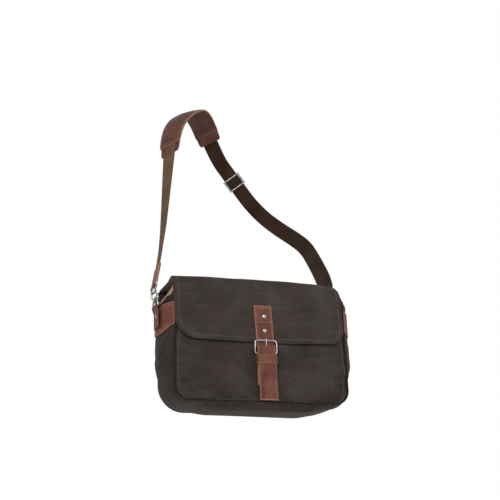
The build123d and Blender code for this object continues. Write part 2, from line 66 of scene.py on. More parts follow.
FRONT_TOP = 252.0
BACK_TOP = 258.0
GUSSET_RISE = 17.0
MOUTH_DIP = (39.0, 54.0)      # how far the gusset's top edge drops in its middle, left and right
MOUTH_SINK = (9.0, 4.0)       # how far it drops close behind the front panel, left and right
BAND_BOTTOM, BAND_TOP = 158.0, 203.0
FLAP_HALF = 187.0
FLAP_TOP = 261.3          # outer face of the flap's top
FLAP_BOTTOM = 122.0
FLAP_STAND = 3.3          # outer face of the flap's front, before the front panel
FLAP_REAR_Y = 57.0
FLAP_CORNERS = (46.0, 32.0)   # left and right corner radius
FLAP_SEAM = 8.5           # its stitches, inside its edge
FOLD_R = 8.0
FOLD_RUN = FOLD_R * np.pi / 2
FLAP_DROP = FOLD_RUN + FLAP_TOP - FOLD_R - FLAP_BOTTOM   # from the fold's start to the free edge
CLOSURE_X = 3.0
BELT_HALF = 19.0
STRAP_WIDTH = 38.0


def to_frame(points):
    """Millimetres about the bag's zero, turned into the frame's metres."""
    return np.asarray(points, float) * MM + BAG_ZERO


def add_object(name, data):
    piece = bpy.data.objects.new(name, data)
    bpy.context.scene.collection.objects.link(piece)
    return piece


# ---- camera
CAMERA_TARGET = (0, 0, 120)
CAMERA_AZIMUTH = 20.075      # to the left of the bag's front, degrees
CAMERA_BELOW = 13.92         # below the level of the target, degrees
CAMERA_DISTANCE = 2.345
CAMERA_ROLL = 2.44
CAMERA_TURN = (0.137, 5.342)   # aimed this far right of and above the target, degrees
CAMERA_LENS = 78.6


def heading(azimuth, rise):
    """Unit vector at an azimuth from +Y towards +X, and a rise above the level, in degrees."""
    azimuth, rise = np.radians(azimuth), np.radians(rise)
    return Vector((np.sin(azimuth) * np.cos(rise), np.cos(azimuth) * np.cos(rise), np.sin(rise)))


def make_camera():
    camera = add_object("camera", bpy.data.cameras.new("camera"))
    target = Vector(to_frame(CAMERA_TARGET))
    camera.location = target - CAMERA_DISTANCE * heading(CAMERA_AZIMUTH, CAMERA_BELOW)
    ahead = heading(CAMERA_AZIMUTH + CAMERA_TURN[0], CAMERA_BELOW + CAMERA_TURN[1])
    roll = Matrix.Rotation(-np.radians(CAMERA_ROLL), 3, "Z")
    camera.rotation_mode = "QUATERNION"
    camera.rotation_quaternion = (ahead.to_track_quat("-Z", "Y").to_matrix() @ roll).to_quaternion()
    camera.data.lens = CAMERA_LENS
    camera.data.sensor_width = 36.0
    bpy.context.scene.camera = camera


# ---- materials
class Shader:
    """A new material, with short ways to add and join its nodes."""

    def __init__(self, name, settings):
        self.material = bpy.data.materials.new(name)
        self.material.use_nodes = True
        self.tree = self.material.node_tree
        self.bsdf = self.tree.nodes["Principled BSDF"]
        self.set(self.bsdf, settings)

    def set(self, node, values):
        for socket, value in values.items():
            target = node.inputs[socket]
            if isinstance(value, bpy.types.NodeSocket):
                self.tree.links.new(value, target)
            else:
                target.default_value = value

    def add(self, kind, inputs, output=0, **attributes):
        node = self.tree.nodes.new("ShaderNode" + kind)
        for name, value in attributes.items():
            setattr(node, name, value)
        self.set(node, inputs)
        return node.outputs[output]

    def math(self, operation, a, b=0.0):
        return self.add("Math", {0: a, 1: b}, operation=operation)

    def times(self, a, b):
        return self.math("MULTIPLY", a, b)

    def remap(self, value, low, high, to_low=0.0, to_high=1.0):
        values = {"Value": value, "From Min": low, "From Max": high, "To Min": to_low, "To Max": to_high}
        return self.add("MapRange", values)

    def mix(self, share, colour, tone, strength=1.0):
        """The colour with a share of a tone laid over it, the tone darkened or lightened first."""
        tone = (*[t * strength for t in tone], 1)
        return self.add("Mix", {"Factor": share, "A": colour, "B": tone}, output=2, data_type="RGBA")

    def ramp(self, value, *stops):
        """Colour from (place, colour) stops along a value."""
        node = self.tree.nodes.new("ShaderNodeValToRGB")
        for _ in stops[2:]:
            node.color_ramp.elements.new(0.5)
        for element, (place, colour) in zip(node.color_ramp.elements, stops):
            element.position = place
            element.color = (*colour, 1)
        self.set(node, {"Fac": value})
        return node.outputs[0]

    def noise(self, vector, scale, detail=3.0, distortion=0.0, rough=0.5):
        values = {"Vector": vector, "Scale": scale, "Detail": detail}
        return self.add("TexNoise", {**values, "Distortion": distortion, "Roughness": rough})

    def bands(self, vector, pitch, axis):
        """Soft stripes across an axis, one every pitch metres."""
        values = {"Vector": vector, "Scale": 2 * np.pi / (20 * pitch)}
        return self.add("TexWave", values, output=1, bands_direction=axis, wave_profile="SIN")

    def cells(self, vector, scale):
        return self.add("TexVoronoi", {"Vector": vector, "Scale": scale}, feature="F1")

    def mapping(self, vector, **settings):
        return self.add("Mapping", {"Vector": vector, **settings})

    def object_space(self):
        return self.add("TexCoord", {}, output=3)

    def cloth_space(self):
        return self.add("UVMap", {}, uv_map="cloth")

    def wear_and_seam_shade(self):
        """1 along a piece's cut edges, 0 away from them: real wear on leather, painted seam shade on canvas.
        """
        return self.add("Attribute", {}, output=2, attribute_name="wear_and_seam_shade")

    def finish(self, colour, rough, bumps):
        """The finished material; its bumps are (height, depth in metres) pairs, laid over each other."""
        self.set(self.bsdf, {"Base Color": colour, "Roughness": rough})
        below = {}
        for height, depth in bumps:
            values = {"Height": height, "Strength": 1.0, "Distance": depth}
            below = {"Normal": self.add("Bump", {**values, **below})}
        self.set(self.bsdf, below)
        return self.material


def make_canvas(name, tones, mapped=True, rim=0.0):
    """Waxed cotton canvas: mottled, with pale crease lines in the wax and a fine plain weave.

    The rim is how much painted shade darkens the cloth along its edges, where it dives into a seam."""
    s = Shader(name, {"Specular IOR Level": 0.13})
    space = s.cloth_space() if mapped else s.object_space()
    patches = s.noise(space, 11.0, 5.0, 0.7, 0.62)
    tint = s.noise(space, 31.0, 4.0, 0.3)
    colour = s.ramp(patches, (0.30, tones[0]), (0.50, tones[1]), (0.72, tones[2]))
    colour = s.mix(s.remap(tint, 0.42, 0.70, 0.0, 0.45), colour, tones[3])
    crease = s.math("ABSOLUTE", s.math("SUBTRACT", s.noise(space, 34.0, 4.0, 1.6, 0.6), 0.5))
    crease = s.times(s.remap(crease, 0.0, 0.018, 1.0, 0.0), s.remap(patches, 0.44, 0.62))
    colour = s.mix(s.times(crease, 0.34), colour, tones[4])
    brushed = s.noise(s.mapping(space, Scale=(16.0, 90.0, 16.0)), 1.0, 4.0, 0.4)
    colour = s.mix(s.remap(brushed, 0.50, 0.72, 0.0, 0.40), colour, tones[2])
    weave = s.times(s.bands(space, 0.00075, "X"), s.bands(space, 0.00075, "Y"))
    fibre = s.noise(space, 700.0, 3.0)
    grain = s.math("ADD", s.times(weave, 0.5), s.times(fibre, 0.5))
    colour = s.mix(s.remap(grain, 0.2, 0.75, 0.55, 0.0), colour, tones[0], 0.45)
    # Painted shade: the cloth darkens along its edges, where it dives into a seam.
    if rim:
        colour = s.mix(s.times(s.wear_and_seam_shade(), rim), colour, tones[0], 0.15)
    rough = s.math("SUBTRACT", s.remap(patches, 0.3, 0.7, 0.50, 0.70), s.times(crease, 0.08))
    lumps = s.noise(space, 75.0, 4.0, 0.6)
    return s.finish(colour, rough, [(lumps, 0.0011), (crease, 0.0002), (grain, 0.00022)])


def make_leather(name, tones, grain=1.0):
    """Oiled pull-up leather: cloudy colour, fine grain, paler and smoother where it is worn."""
    s = Shader(name, {"Specular IOR Level": 0.24, "Coat Weight": 0.04, "Coat Roughness": 0.35})
    space = s.object_space()
    clouds = s.noise(space, 26.0, 6.0, 0.5, 0.6)
    flecks = s.noise(space, 150.0, 4.0, 0.4)
    colour = s.ramp(clouds, (0.30, tones[0]), (0.50, tones[1]), (0.70, tones[2]))
    colour = s.mix(s.remap(flecks, 0.55, 0.75, 0.0, 0.35), colour, tones[2])
    # On leather the edge share is real wear: paler, burnished edges.
    wear_and_seam_shade = s.times(s.wear_and_seam_shade(), s.remap(flecks, 0.30, 0.60, 0.65, 1.0))
    colour = s.mix(wear_and_seam_shade, colour, tones[3])
    pores = s.cells(space, 620.0)
    colour = s.mix(s.remap(pores, 0.35, 0.0, 0.0, 0.45), colour, tones[0], 0.4)
    rough = s.math("ADD", s.remap(clouds, 0.3, 0.7, 0.36, 0.52), s.times(flecks, 0.10))
    lumps = s.noise(space, 90.0, 3.0)
    bumps = [(lumps, 0.0008 * grain), (pores, 0.00022 * grain), (flecks, 0.0003 * grain)]
    return s.finish(colour, rough, bumps)


def make_webbing(name, dark, light, gap):
    """Heavy cotton webbing: lengthwise cords crossed by a fine weft."""
    s = Shader(name, {"Specular IOR Level": 0.10, "Sheen Weight": 0.05, "Sheen Roughness": 0.5})
    space = s.cloth_space()
    cords = s.bands(space, 0.0021, "X")
    weft = s.bands(s.mapping(space, Rotation=(0, 0, 0.45)), 0.0016, "Y")
    body = s.times(s.math("ADD", cords, 0.35), s.math("ADD", weft, 0.5))
    fuzz = s.noise(space, 900.0, 3.0)
    colour = s.ramp(s.noise(space, 22.0, 4.0), (0.3, dark), (0.7, light))
    colour = s.mix(s.remap(body, 0.2, 1.5, 0.75, 0.0), colour, gap)
    colour = s.mix(s.remap(fuzz, 0.55, 0.75, 0.0, 0.25), colour, light, 1.5)
    return s.finish(colour, s.remap(fuzz, 0.3, 0.7, 0.72, 0.92), [(body, 0.00045), (fuzz, 0.00012)])


def make_twill(name, dark, light):
    """Cotton twill for the lining and facings."""
    s = Shader(name, {"Specular IOR Level": 0.2, "Sheen Weight": 0.2, "Sheen Roughness": 0.5})
    space = s.cloth_space()
    rib = s.bands(s.mapping(space, Rotation=(0, 0, 0.9)), 0.0009, "X")
    fuzz = s.noise(space, 800.0, 2.0)
    lumps = s.noise(space, 110.0, 2.0)
    colour = s.ramp(s.noise(space, 30.0, 4.0), (0.3, dark), (0.7, light))
    colour = s.mix(s.remap(rib, 0.0, 1.0, 0.35, 0.0), colour, dark, 0.5)
    rough = s.remap(fuzz, 0.3, 0.7, 0.78, 0.92)
    return s.finish(colour, rough, [(lumps, 0.0006), (rib, 0.00012), (fuzz, 0.0001)])


def make_nickel():
    """Polished nickel plate with faint handling marks."""
    s = Shader("nickel", {"Metallic": 1.0})
    space = s.object_space()
    smudge = s.noise(space, 120.0, 4.0)
    scratch = s.noise(s.mapping(space, Scale=(900, 60, 200)), 1.0, 2.0)
    colour = s.ramp(smudge, (0.3, (0.40, 0.385, 0.36)), (0.7, (0.58, 0.57, 0.55)))
    return s.finish(colour, s.remap(smudge, 0.3, 0.7, 0.14, 0.28), [(smudge, 0.00012), (scratch, 0.00002)])


def make_thread(name, dark, light):
    """Twisted sewing thread."""
    s = Shader(name, {"Specular IOR Level": 0.35, "Sheen Weight": 0.2})
    ply = s.noise(s.object_space(), 1500.0, 2.0)
    colour = s.ramp(ply, (0.35, dark), (0.65, light))
    return s.finish(colour, s.remap(ply, 0.3, 0.7, 0.5, 0.8), [(ply, 0.0001)])


def make_board():
    """The stiffener board inside the bag."""
    s = Shader("foam", {})
    cells = s.cells(s.object_space(), 500.0)
    colour = s.ramp(cells, (0.0, (0.06, 0.06, 0.06)), (0.6, (0.16, 0.16, 0.16)))
    return s.finish(colour, s.remap(cells, 0.0, 1.0, 0.8, 0.95), [(cells, 0.0004)])


# Tones: the dark, middle and light of the cloth or leather; for canvas a reddish tint and the wax's
# creases, and for leather its worn edges.
CANVAS_TONES = [(0.024, 0.016, 0.013), (0.043, 0.032, 0.027), (0.084, 0.067, 0.055), (0.050, 0.027, 0.022),
                (0.155, 0.132, 0.108)]
FLAP_TONES = [(0.029, 0.021, 0.017), (0.048, 0.036, 0.031), (0.086, 0.070, 0.059), (0.056, 0.033, 0.027),
              (0.160, 0.138, 0.114)]
GUSSET_TONES = [(0.024, 0.015, 0.011), (0.043, 0.030, 0.023), (0.080, 0.060, 0.048), (0.050, 0.028, 0.021),
                (0.135, 0.108, 0.086)]
# The welt is the gusset's canvas at 0.4 of its tones: painted shade along the seams.
WELT_PAINTED_SHADE_TONES = [[t * 0.4 for t in tone] for tone in GUSSET_TONES]
LEATHER_TONES = [(0.054, 0.014, 0.008), (0.114, 0.033, 0.019), (0.170, 0.056, 0.033), (0.330, 0.155, 0.092)]
PAD_TONES = [(0.045, 0.015, 0.010), (0.085, 0.029, 0.018), (0.140, 0.052, 0.032), (0.330, 0.165, 0.100)]
KEEPER_TONES = [(0.075, 0.022, 0.012), (0.150, 0.048, 0.028), (0.215, 0.078, 0.046), (0.380, 0.190, 0.120)]

# The panels' and the gusset's canvas carry painted seam shade along their edges (rim 0.9).
CANVAS = make_canvas("canvas", CANVAS_TONES, rim=0.9)
FLAP_CANVAS = make_canvas("flap_canvas", FLAP_TONES)
GUSSET_CANVAS = make_canvas("gusset_canvas", GUSSET_TONES, rim=0.9)
PAINTED_SHADE_WELT = make_canvas("welt", WELT_PAINTED_SHADE_TONES, mapped=False)
LEATHER = make_leather("leather", LEATHER_TONES)
KEEPER_LEATHER = make_leather("keeper_leather", KEEPER_TONES)
PAD_LEATHER = make_leather("pad_leather", PAD_TONES, 1.3)
WEBBING = make_webbing("webbing", (0.140, 0.070, 0.034), (0.235, 0.132, 0.068), (0.050, 0.024, 0.012))
# A darker copy of the webbing: painted shade for the strap's inner face.
WEBBING_PAINTED_SHADE = make_webbing("webbing_painted_shade", (0.024, 0.012, 0.006), (0.070, 0.030, 0.014),
                              (0.010, 0.005, 0.003))
LINING = make_twill("lining", (0.17, 0.115, 0.065), (0.27, 0.19, 0.115))
FACING = make_twill("facing", (0.30, 0.185, 0.100), (0.42, 0.28, 0.165))
NICKEL = make_nickel()
KHAKI_THREAD = make_thread("khaki_thread", (0.10, 0.085, 0.050), (0.20, 0.175, 0.115))
TAN_THREAD = make_thread("tan_thread", (0.26, 0.14, 0.07), (0.46, 0.29, 0.17))
BOARD = make_board()
THREADS = {"canvas": KHAKI_THREAD, "leather": TAN_THREAD}


# ---- shared shapes
def new_mesh(name, points, faces, materials, uv=None, wear_and_seam_shade=None, face_slots=None, closed=True):
    """Smooth-shaded object from points in millimetres about the bag's zero."""
    mesh = bpy.data.meshes.new(name)
    places = to_frame(points).reshape(-1, 3)
    mesh.from_pydata([tuple(p) for p in places], [], [tuple(int(i) for i in f) for f in faces])
    if closed:
        shape = bmesh.new()
        shape.from_mesh(mesh)
        bmesh.ops.recalc_face_normals(shape, faces=shape.faces)
        shape.to_mesh(mesh)
        shape.free()
    for material in materials:
        mesh.materials.append(material)
    mesh.polygons.foreach_set("use_smooth", [True] * len(mesh.polygons))
    if face_slots is not None:
        mesh.polygons.foreach_set("material_index", [int(i) for i in face_slots])
    if uv is not None:
        corners = np.zeros(len(mesh.loops), np.int32)
        mesh.loops.foreach_get("vertex_index", corners)
        spread = np.asarray(uv, float).reshape(-1, 2) * MM
        mesh.uv_layers.new(name="cloth").data.foreach_set("uv", spread[corners].ravel())
    if wear_and_seam_shade is not None:
        attribute = mesh.attributes.new("wear_and_seam_shade", "FLOAT", "POINT")
        attribute.data.foreach_set("value", np.asarray(wear_and_seam_shade, float).ravel())
    return add_object(name, mesh)


def quads(rows, columns, wrap=False):
    """Faces of a grid of points numbered row by row, closed across its columns if wrap."""
    number = np.arange(rows * columns).reshape(rows, columns)
    if wrap:
        number = np.concatenate([number, number[:, :1]], 1)
    corners = [number[:-1, :-1], number[:-1, 1:], number[1:, 1:], number[1:, :-1]]
    return np.stack(corners, -1).reshape(-1, 4)


def ring_faces(rows, columns):
    """Faces of a closed tube of rings: its wall, then the first and the last ring."""
    last = (rows - 1) * columns
    ends = [list(range(columns))[::-1], [last + k for k in range(columns)]]
    return quads(rows, columns, wrap=True).tolist() + ends


def joined(*coordinates):
    """Points from coordinates that broadcast against each other."""
    return np.stack(np.broadcast_arrays(*coordinates), -1)


def unit(vectors):
    return vectors / np.maximum(np.linalg.norm(vectors, axis=-1, keepdims=True), 1e-9)


def smoothstep(value, low, high):
    t = np.clip((np.asarray(value, float) - low) / (high - low), 0, 1)
    return t * t * (3 - 2 * t)


def grid_normals(grid):
    return unit(np.cross(np.gradient(grid, axis=1), np.gradient(grid, axis=0)))


def ripple(points, wavelength, seed, waves=14):
    """Smooth repeatable unevenness from -1 to 1, about one swell per wavelength."""
    chance = np.random.default_rng(seed)
    total = np.zeros(np.asarray(points).shape[:-1])
    for _ in range(waves):
        direction = unit(chance.normal(size=3))
        pitch = wavelength * chance.uniform(0.6, 1.7)
        total += np.sin(points @ direction * 2 * np.pi / pitch + chance.uniform(0, 2 * np.pi))
    return total / np.sqrt(waves)


def arc_lengths(points):
    steps = np.linalg.norm(np.diff(points, axis=0), axis=1)
    return np.concatenate([[0.0], np.cumsum(steps)])


def along_line(places, along, values):
    """Values known at distances along a line, read at other places on it."""
    return np.stack([np.interp(places, along, column) for column in np.asarray(values, float).T], -1)


def rounded_path(points, rounds=3, step=1.5):
    """Even points along a line whose corners are softened."""
    along = arc_lengths(points)
    path = along_line(np.linspace(0, along[-1], int(along[-1] / step) + 1), along, points)
    for _ in range(rounds):
        path[1:-1] = (path[:-2] + 2 * path[1:-1] + path[2:]) / 4
    return path


def plate(name, grid, thickness, materials, uv=None, wear_and_seam_shade_width=1.6, body="bag", outward=1):
    """Closed sheet of a thickness behind a grid of points, with a rounded edge all round."""
    rows, columns = grid.shape[:2]
    count = rows * columns
    inner = grid - grid_normals(grid) * outward * thickness
    number = np.arange(count).reshape(rows, columns)
    upper = np.concatenate([number[0], number[1:, -1], number[-1, -2::-1], number[-2:0:-1, 0]])
    rim = np.divmod(upper, columns)
    within = (np.clip(rim[0], 1, rows - 2), np.clip(rim[1], 1, columns - 2))
    middle = (grid[rim] + inner[rim]) / 2 + unit(grid[rim] - grid[within]) * thickness / 2
    loops = [upper, 2 * count + np.arange(len(upper)), upper + count]
    side = [np.stack([a, np.roll(a, -1), np.roll(b, -1), b], 1) for a, b in zip(loops, loops[1:])]
    top = quads(rows, columns)
    faces = np.concatenate([top, top + count] + side)
    points = np.concatenate([grid.reshape(-1, 3), inner.reshape(-1, 3), middle])
    across = np.stack([arc_lengths(row) for row in grid])
    down = np.stack([arc_lengths(grid[:, c]) for c in range(columns)], 1)
    to_edge = np.minimum.reduce([across, across[:, -1:] - across, down, down[-1:] - down])
    # Share near the edges: real wear on leather, painted seam shade on canvas.
    wear_and_seam_shade = np.clip(1 - to_edge / wear_and_seam_shade_width, 0, 1).ravel()
    flat = (np.stack([across, down], -1) if uv is None else uv).reshape(-1, 2)
    slots = np.zeros(len(faces))
    slots[len(top):2 * len(top)] = len(materials) - 1
    piece = new_mesh(name, points, faces, materials, np.concatenate([flat, flat, flat[upper]]),
                     np.concatenate([wear_and_seam_shade, wear_and_seam_shade * 0, np.ones(len(upper))]), slots)
    if body:
        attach(piece, body)
    return piece


STITCH_PITCH = 3.6
STITCH_LENGTH = 2.7
STITCH_R = 0.42
STITCH_SHAPE = [(-0.5, 0.25), (-0.38, 0.85), (0.0, 1.0), (0.38, 0.85), (0.5, 0.25)]  # place, share of radius
STITCH_SIDES = 6


def grid_runs(grid, normals, rows=(), columns=(), part=slice(2, -2)):
    """Lines of points and normals, to be stitched, along part of some rows and columns of a grid."""
    runs = [(grid[r, part], normals[r, part]) for r in rows]
    return runs + [(grid[part, c], normals[part, c]) for c in columns]


def stitches(name, runs, body, slot="canvas"):
    """Separate raised stitches along lines of (points, surface normals)."""
    angles = np.arange(STITCH_SIDES) * 2 * np.pi / STITCH_SIDES
    one = ring_faces(len(STITCH_SHAPE), STITCH_SIDES)
    points, faces = [], []
    for line, normals in runs:
        along = arc_lengths(line)
        count = max(2, int(round(along[-1] / STITCH_PITCH)))
        places = (np.arange(count) + 0.5) * along[-1] / count
        spots = along_line(places, along, line)
        ahead = unit(along_line(places + 0.5, along, line) - along_line(places - 0.5, along, line))
        up = unit(along_line(places, along, normals))
        across = unit(np.cross(ahead, up))
        for spot, a, n, w in zip(spots, ahead, up, across):
            faces += [[len(points) + k for k in face] for face in one]
            for place, girth in STITCH_SHAPE:
                middle = spot + a * place * STITCH_LENGTH + n * (STITCH_R * (0.55 - 2.2 * place**2))
                for angle in angles:
                    points.append(middle + (w * np.cos(angle) + n * np.sin(angle)) * STITCH_R * girth)
    piece = new_mesh(name, points, faces, [THREADS[slot]])
    if body:
        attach(piece, body)
    return piece


SWELL_FRAMES = 20


def swell(points, faces, pinned, caps, pressure, grow, bending):
    """Points after a short cloth simulation under pressure, each moved no further than its cap."""
    piece = new_mesh("swelling", points, faces, [], closed=False)
    group = piece.vertex_groups.new(name="pinned")
    for index in np.flatnonzero(pinned > 0):
        group.add([int(index)], float(pinned[index]), "REPLACE")
    cloth = piece.modifiers.new("cloth", "CLOTH")
    settings = cloth.settings
    settings.quality = 6
    settings.mass = 0.25
    settings.tension_stiffness = settings.compression_stiffness = settings.shear_stiffness = 12
    settings.bending_stiffness = bending
    settings.use_pressure = True
    settings.uniform_pressure_force = pressure
    settings.vertex_group_mass = "pinned"
    settings.shrink_min = -grow
    settings.effector_weights.gravity = 0
    cloth.collision_settings.use_collision = False
    scene = bpy.context.scene
    for number in range(1, SWELL_FRAMES + 1):
        scene.frame_set(number)
    moved = piece.evaluated_get(bpy.context.evaluated_depsgraph_get()).to_mesh()
    result = np.zeros(len(points) * 3)
    moved.vertices.foreach_get("co", result)
    mesh = piece.data
    bpy.data.objects.remove(piece)
    bpy.data.meshes.remove(mesh)
    scene.frame_set(1)
    shift = (result.reshape(-1, 3) - BAG_ZERO) / MM - points
    size = np.linalg.norm(shift, axis=1, keepdims=True)
    return points + shift * np.minimum(1, caps[:, None] / np.maximum(size, 1e-9))


# ---- the strap
EYE_HEIGHT = 49.0
RING_X, RING_Z = 211.2, 208.0
HOOK_LEAN = (12.9, 42.2)
EYES = [
    np.array([side * RING_X, EYE_HEIGHT * np.sin(lean), RING_Z + EYE_HEIGHT * np.cos(lean)])
    for side, lean in zip((-1, 1), np.radians(HOOK_LEAN))
]
# The strap's route, point by point as in the CAD model, each with the way that its outer face looks.
STRAP_ROUTE = [
    (EYES[0], (-0.971, 0.053, 0.232)),
    ((-187, 33, 352), (-0.971, 0.053, 0.232)),
    ((-167, 65, 483), (-0.96, -0.20, 0.20)),
    ((-148, 97, 612), (-0.88, -0.47, 0.20)),
    ((-141, 106, 655), (-0.80, -0.58, 0.20)),
    ((-129, 116, 692), (-0.70, -0.60, 0.38)),
    ((-108, 131, 724), (-0.52, -0.52, 0.67)),
    ((-82, 150, 748), (-0.34, -0.34, 0.87)),
    ((-58, 172, 760), (-0.20, -0.05, 0.98)),
    ((-34, 203, 757), (-0.10, 0.30, 0.95)),
    ((-12, 234, 742), (0.00, 0.60, 0.80)),
    ((12, 262, 718), (0.08, 0.85, 0.52)),
    ((38, 284, 688), (0.10, 0.97, 0.21)),
    ((58.5, 287.25, 663), (0.10, 0.97, 0.21)),
    ((99.5, 293.75, 613), (0.10, 0.97, 0.21)),
    ((120, 297, 588), (0.10, 0.97, 0.21)),
    ((155, 290, 548), (0.30, 0.94, 0.10)),
    ((188, 272, 514), (0.55, 0.83, 0.00)),
    ((214, 244, 482), (0.75, 0.64, -0.10)),
    ((229, 210, 449), (0.82, 0.48, -0.30)),
    ((232, 176, 408), (0.82, 0.45, -0.36)),
    ((230, 117, 338), (0.76, 0.49, -0.43)),
    ((222, 87, 303), (0.76, 0.49, -0.43)),
    ((217.8, 71.6, 287), (0.90, 0.30, -0.32)),
    (EYES[1], (0.993, -0.078, -0.086)),
]
ROUTE_PLACES, ROUTE_FACING = (np.array(column, float) for column in zip(*STRAP_ROUTE))
STRAP_LENGTH = 1.344
PAD_SHARES = (47 / 160, 78 / 160)
PAD_BASE_SHARES = (44 / 160, 81 / 160)
WEBBING_SHARES = (2 / 160, 158 / 160)
PAD_HALF = 30.0
PAD_SEAM = 25.0           # its seams, from its middle
PAD_HEM = 9.0             # its cross seams, from its ends
STRAP_END_LENGTH = 52.0
STRAP_END_FOLD = 3.6      # outer radius of the leather's fold round the eye's bar
STRAP_END_FACE = 2.95     # outer face of the leather over the webbing, from the webbing's middle
STRAP_END_SEAM = 15.5


def strap_line():
    """Points along the smooth curve that the strap's route controls."""
    curve = bpy.data.curves.new("strap_route", "CURVE")
    curve.dimensions = "3D"
    spline = curve.splines.new("NURBS")
    spline.points.add(len(STRAP_ROUTE) - 1)
    for control, place in zip(spline.points, ROUTE_PLACES):
        control.co = (*place, 1)
    spline.order_u = 3
    spline.use_endpoint_u = True
    curve.resolution_u = 24
    holder = bpy.data.objects.new("strap_route", curve)
    mesh = bpy.data.meshes.new_from_object(holder)
    line = np.array([tuple(v.co) for v in mesh.vertices])
    bpy.data.objects.remove(holder)
    bpy.data.curves.remove(curve)
    bpy.data.meshes.remove(mesh)
    return line


STRAP_LINE = strap_line()


def strap_frames(shares):
    """Points, outer normals, width directions and distances at shares of the strap's length."""
    along = arc_lengths(STRAP_LINE)
    distances = np.asarray(shares) * along[-1]
    spots = along_line(distances, along, STRAP_LINE)
    ahead = unit(np.gradient(spots, axis=0))
    corners = arc_lengths(ROUTE_PLACES)
    facing = along_line(shares, corners / corners[-1], ROUTE_FACING)
    normal = unit(facing - ahead * np.sum(facing * ahead, 1, keepdims=True))
    return spots, normal, np.cross(ahead, normal), distances


def strip_tube(name, shares, section, materials, widths=1.0, slots=None):
    """Closed strip with an (across, out) section carried along the strap, its width scaled by widths."""
    spots, normal, across, along = strap_frames(shares)
    a, out = np.array(section, float).T
    sideways = a * np.broadcast_to(widths, len(shares))[:, None]
    grid = spots[:, None] + across[:, None] * sideways[..., None] + normal[:, None] * out[:, None]
    if slots is not None:
        slots = np.concatenate([np.tile(slots, len(shares) - 1), [0, 0]])
    uv = joined(a, along[:, None])
    piece = new_mesh(name, grid, ring_faces(*grid.shape[:2]), materials, uv, face_slots=slots)
    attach(piece, "strap")
    return piece


def sleeve(spots, normal, across, a, outer, inner):
    """Rings round a line: over its outer face at places a across it, and back under its inner face."""
    top = spots[:, None] + across[:, None] * a[:, None] + normal[:, None] * outer[..., None]
    low = spots[:, None] + across[:, None] * a[::-1, None] + normal[:, None] * inner[:, ::-1, None]
    return np.concatenate([top, low], 1)


def sleeve_mesh(name, ring, a, along, wear_and_seam_shade, material):
    """Such rings as a closed piece of the strap, its cloth coordinates across and along it."""
    piece = new_mesh(name, ring, ring_faces(*ring.shape[:2]), [material],
                     joined(np.concatenate([a, a[::-1]]), along[:, None]), wear_and_seam_shade)
    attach(piece, "strap")
    return piece


def make_webbing_strap():
    """Flat woven ribbon along the whole strap, bowed a little, with painted shade on its inner face."""
    half, thick, edge = STRAP_WIDTH / 2, 1.1, 0.4
    top = [(a, thick + 0.12 * np.cos(a / half * np.pi)) for a in np.linspace(-half + 0.5, half - 0.5, 15)]
    low = [(a, -n) for a, n in reversed(top)]
    section = top + [(half, edge), (half, -edge)] + low + [(-half, -edge), (-half, edge)]
    shares = np.linspace(*WEBBING_SHARES, 320)
    # Faces on the strap's inner side take the darker webbing as painted shade.
    inside = [float(n < 0) for _, n in section]
    strap = strip_tube("strap_webbing_cloth", shares, section, [WEBBING, WEBBING_PAINTED_SHADE], slots=inside)
    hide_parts("strap_webbing")


def make_shoulder_pad():
    """Stuffed leather sleeve round the webbing: crowned, pinched along its sewn edges and at its hems."""
    a = PAD_HALF * np.sin(np.linspace(-1, 1, 27) * np.pi / 2)
    spots, normal, across, along = strap_frames(np.linspace(*PAD_SHARES, 66))
    to_end = np.minimum(along - along[0], along[-1] - along)
    hem = 0.45 + 0.55 * smoothstep(to_end, 1.0, 16.0)
    seam = 0.5 + 0.5 * smoothstep(PAD_HALF - np.abs(a), 2.0, 7.0)
    crown = np.clip(1 - (np.abs(a) / PAD_HALF) ** 2.6, 0, 1)
    outer = 1.75 + np.outer(hem, 1.9 * crown * seam)
    inner = -1.6 - np.outer(hem, 4.3 * crown * seam)
    ring = sleeve(spots, normal, across, a, outer, inner)
    rows, columns = ring.shape[:2]
    position = np.concatenate([a, a[::-1]])
    pinned = np.tile((np.abs(position) > PAD_HALF - 1.5).astype(float), (rows, 1))
    pinned[[0, 1, -2, -1]] = 1
    pinned[np.abs(to_end - PAD_HEM) < 2.2] = 1
    pinned[:, np.abs(np.abs(position) - PAD_SEAM) < 1.0] = 1
    caps = np.full(rows * columns, 2.2)
    wall = quads(rows, columns, wrap=True)
    points = swell(ring.reshape(-1, 3), wall, pinned.ravel(), caps, pressure=3.0, grow=0.02, bending=0.6)
    ring = points.reshape(rows, columns, 3)
    wear_and_seam_shade = np.maximum(smoothstep(np.abs(position), PAD_HALF - 2.5, PAD_HALF)[None] * 0.9,
                      smoothstep(-to_end, -2.5, 0.0)[:, None] * 0.8)
    pad = sleeve_mesh("shoulder_pad", ring, a, along, wear_and_seam_shade, PAD_LEATHER)
    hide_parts("shoulder_pad_cover")
    face = ring[:, :len(a)]
    up = grid_normals(face)
    up *= np.sign(np.sum(up * normal[:, None], -1, keepdims=True))
    seams = [np.argmin(np.abs(a - side * PAD_SEAM)) for side in (-1, 1)]
    hems = [np.argmin(np.abs(way - PAD_HEM)) for way in (along - along[0], along[-1] - along)]
    lifted = face + up * 0.15
    runs = grid_runs(lifted, up, columns=seams, part=slice(3, -3)) + grid_runs(lifted, up, rows=hems)
    stitches("shoulder_pad_stitching", runs, "strap", slot="leather")


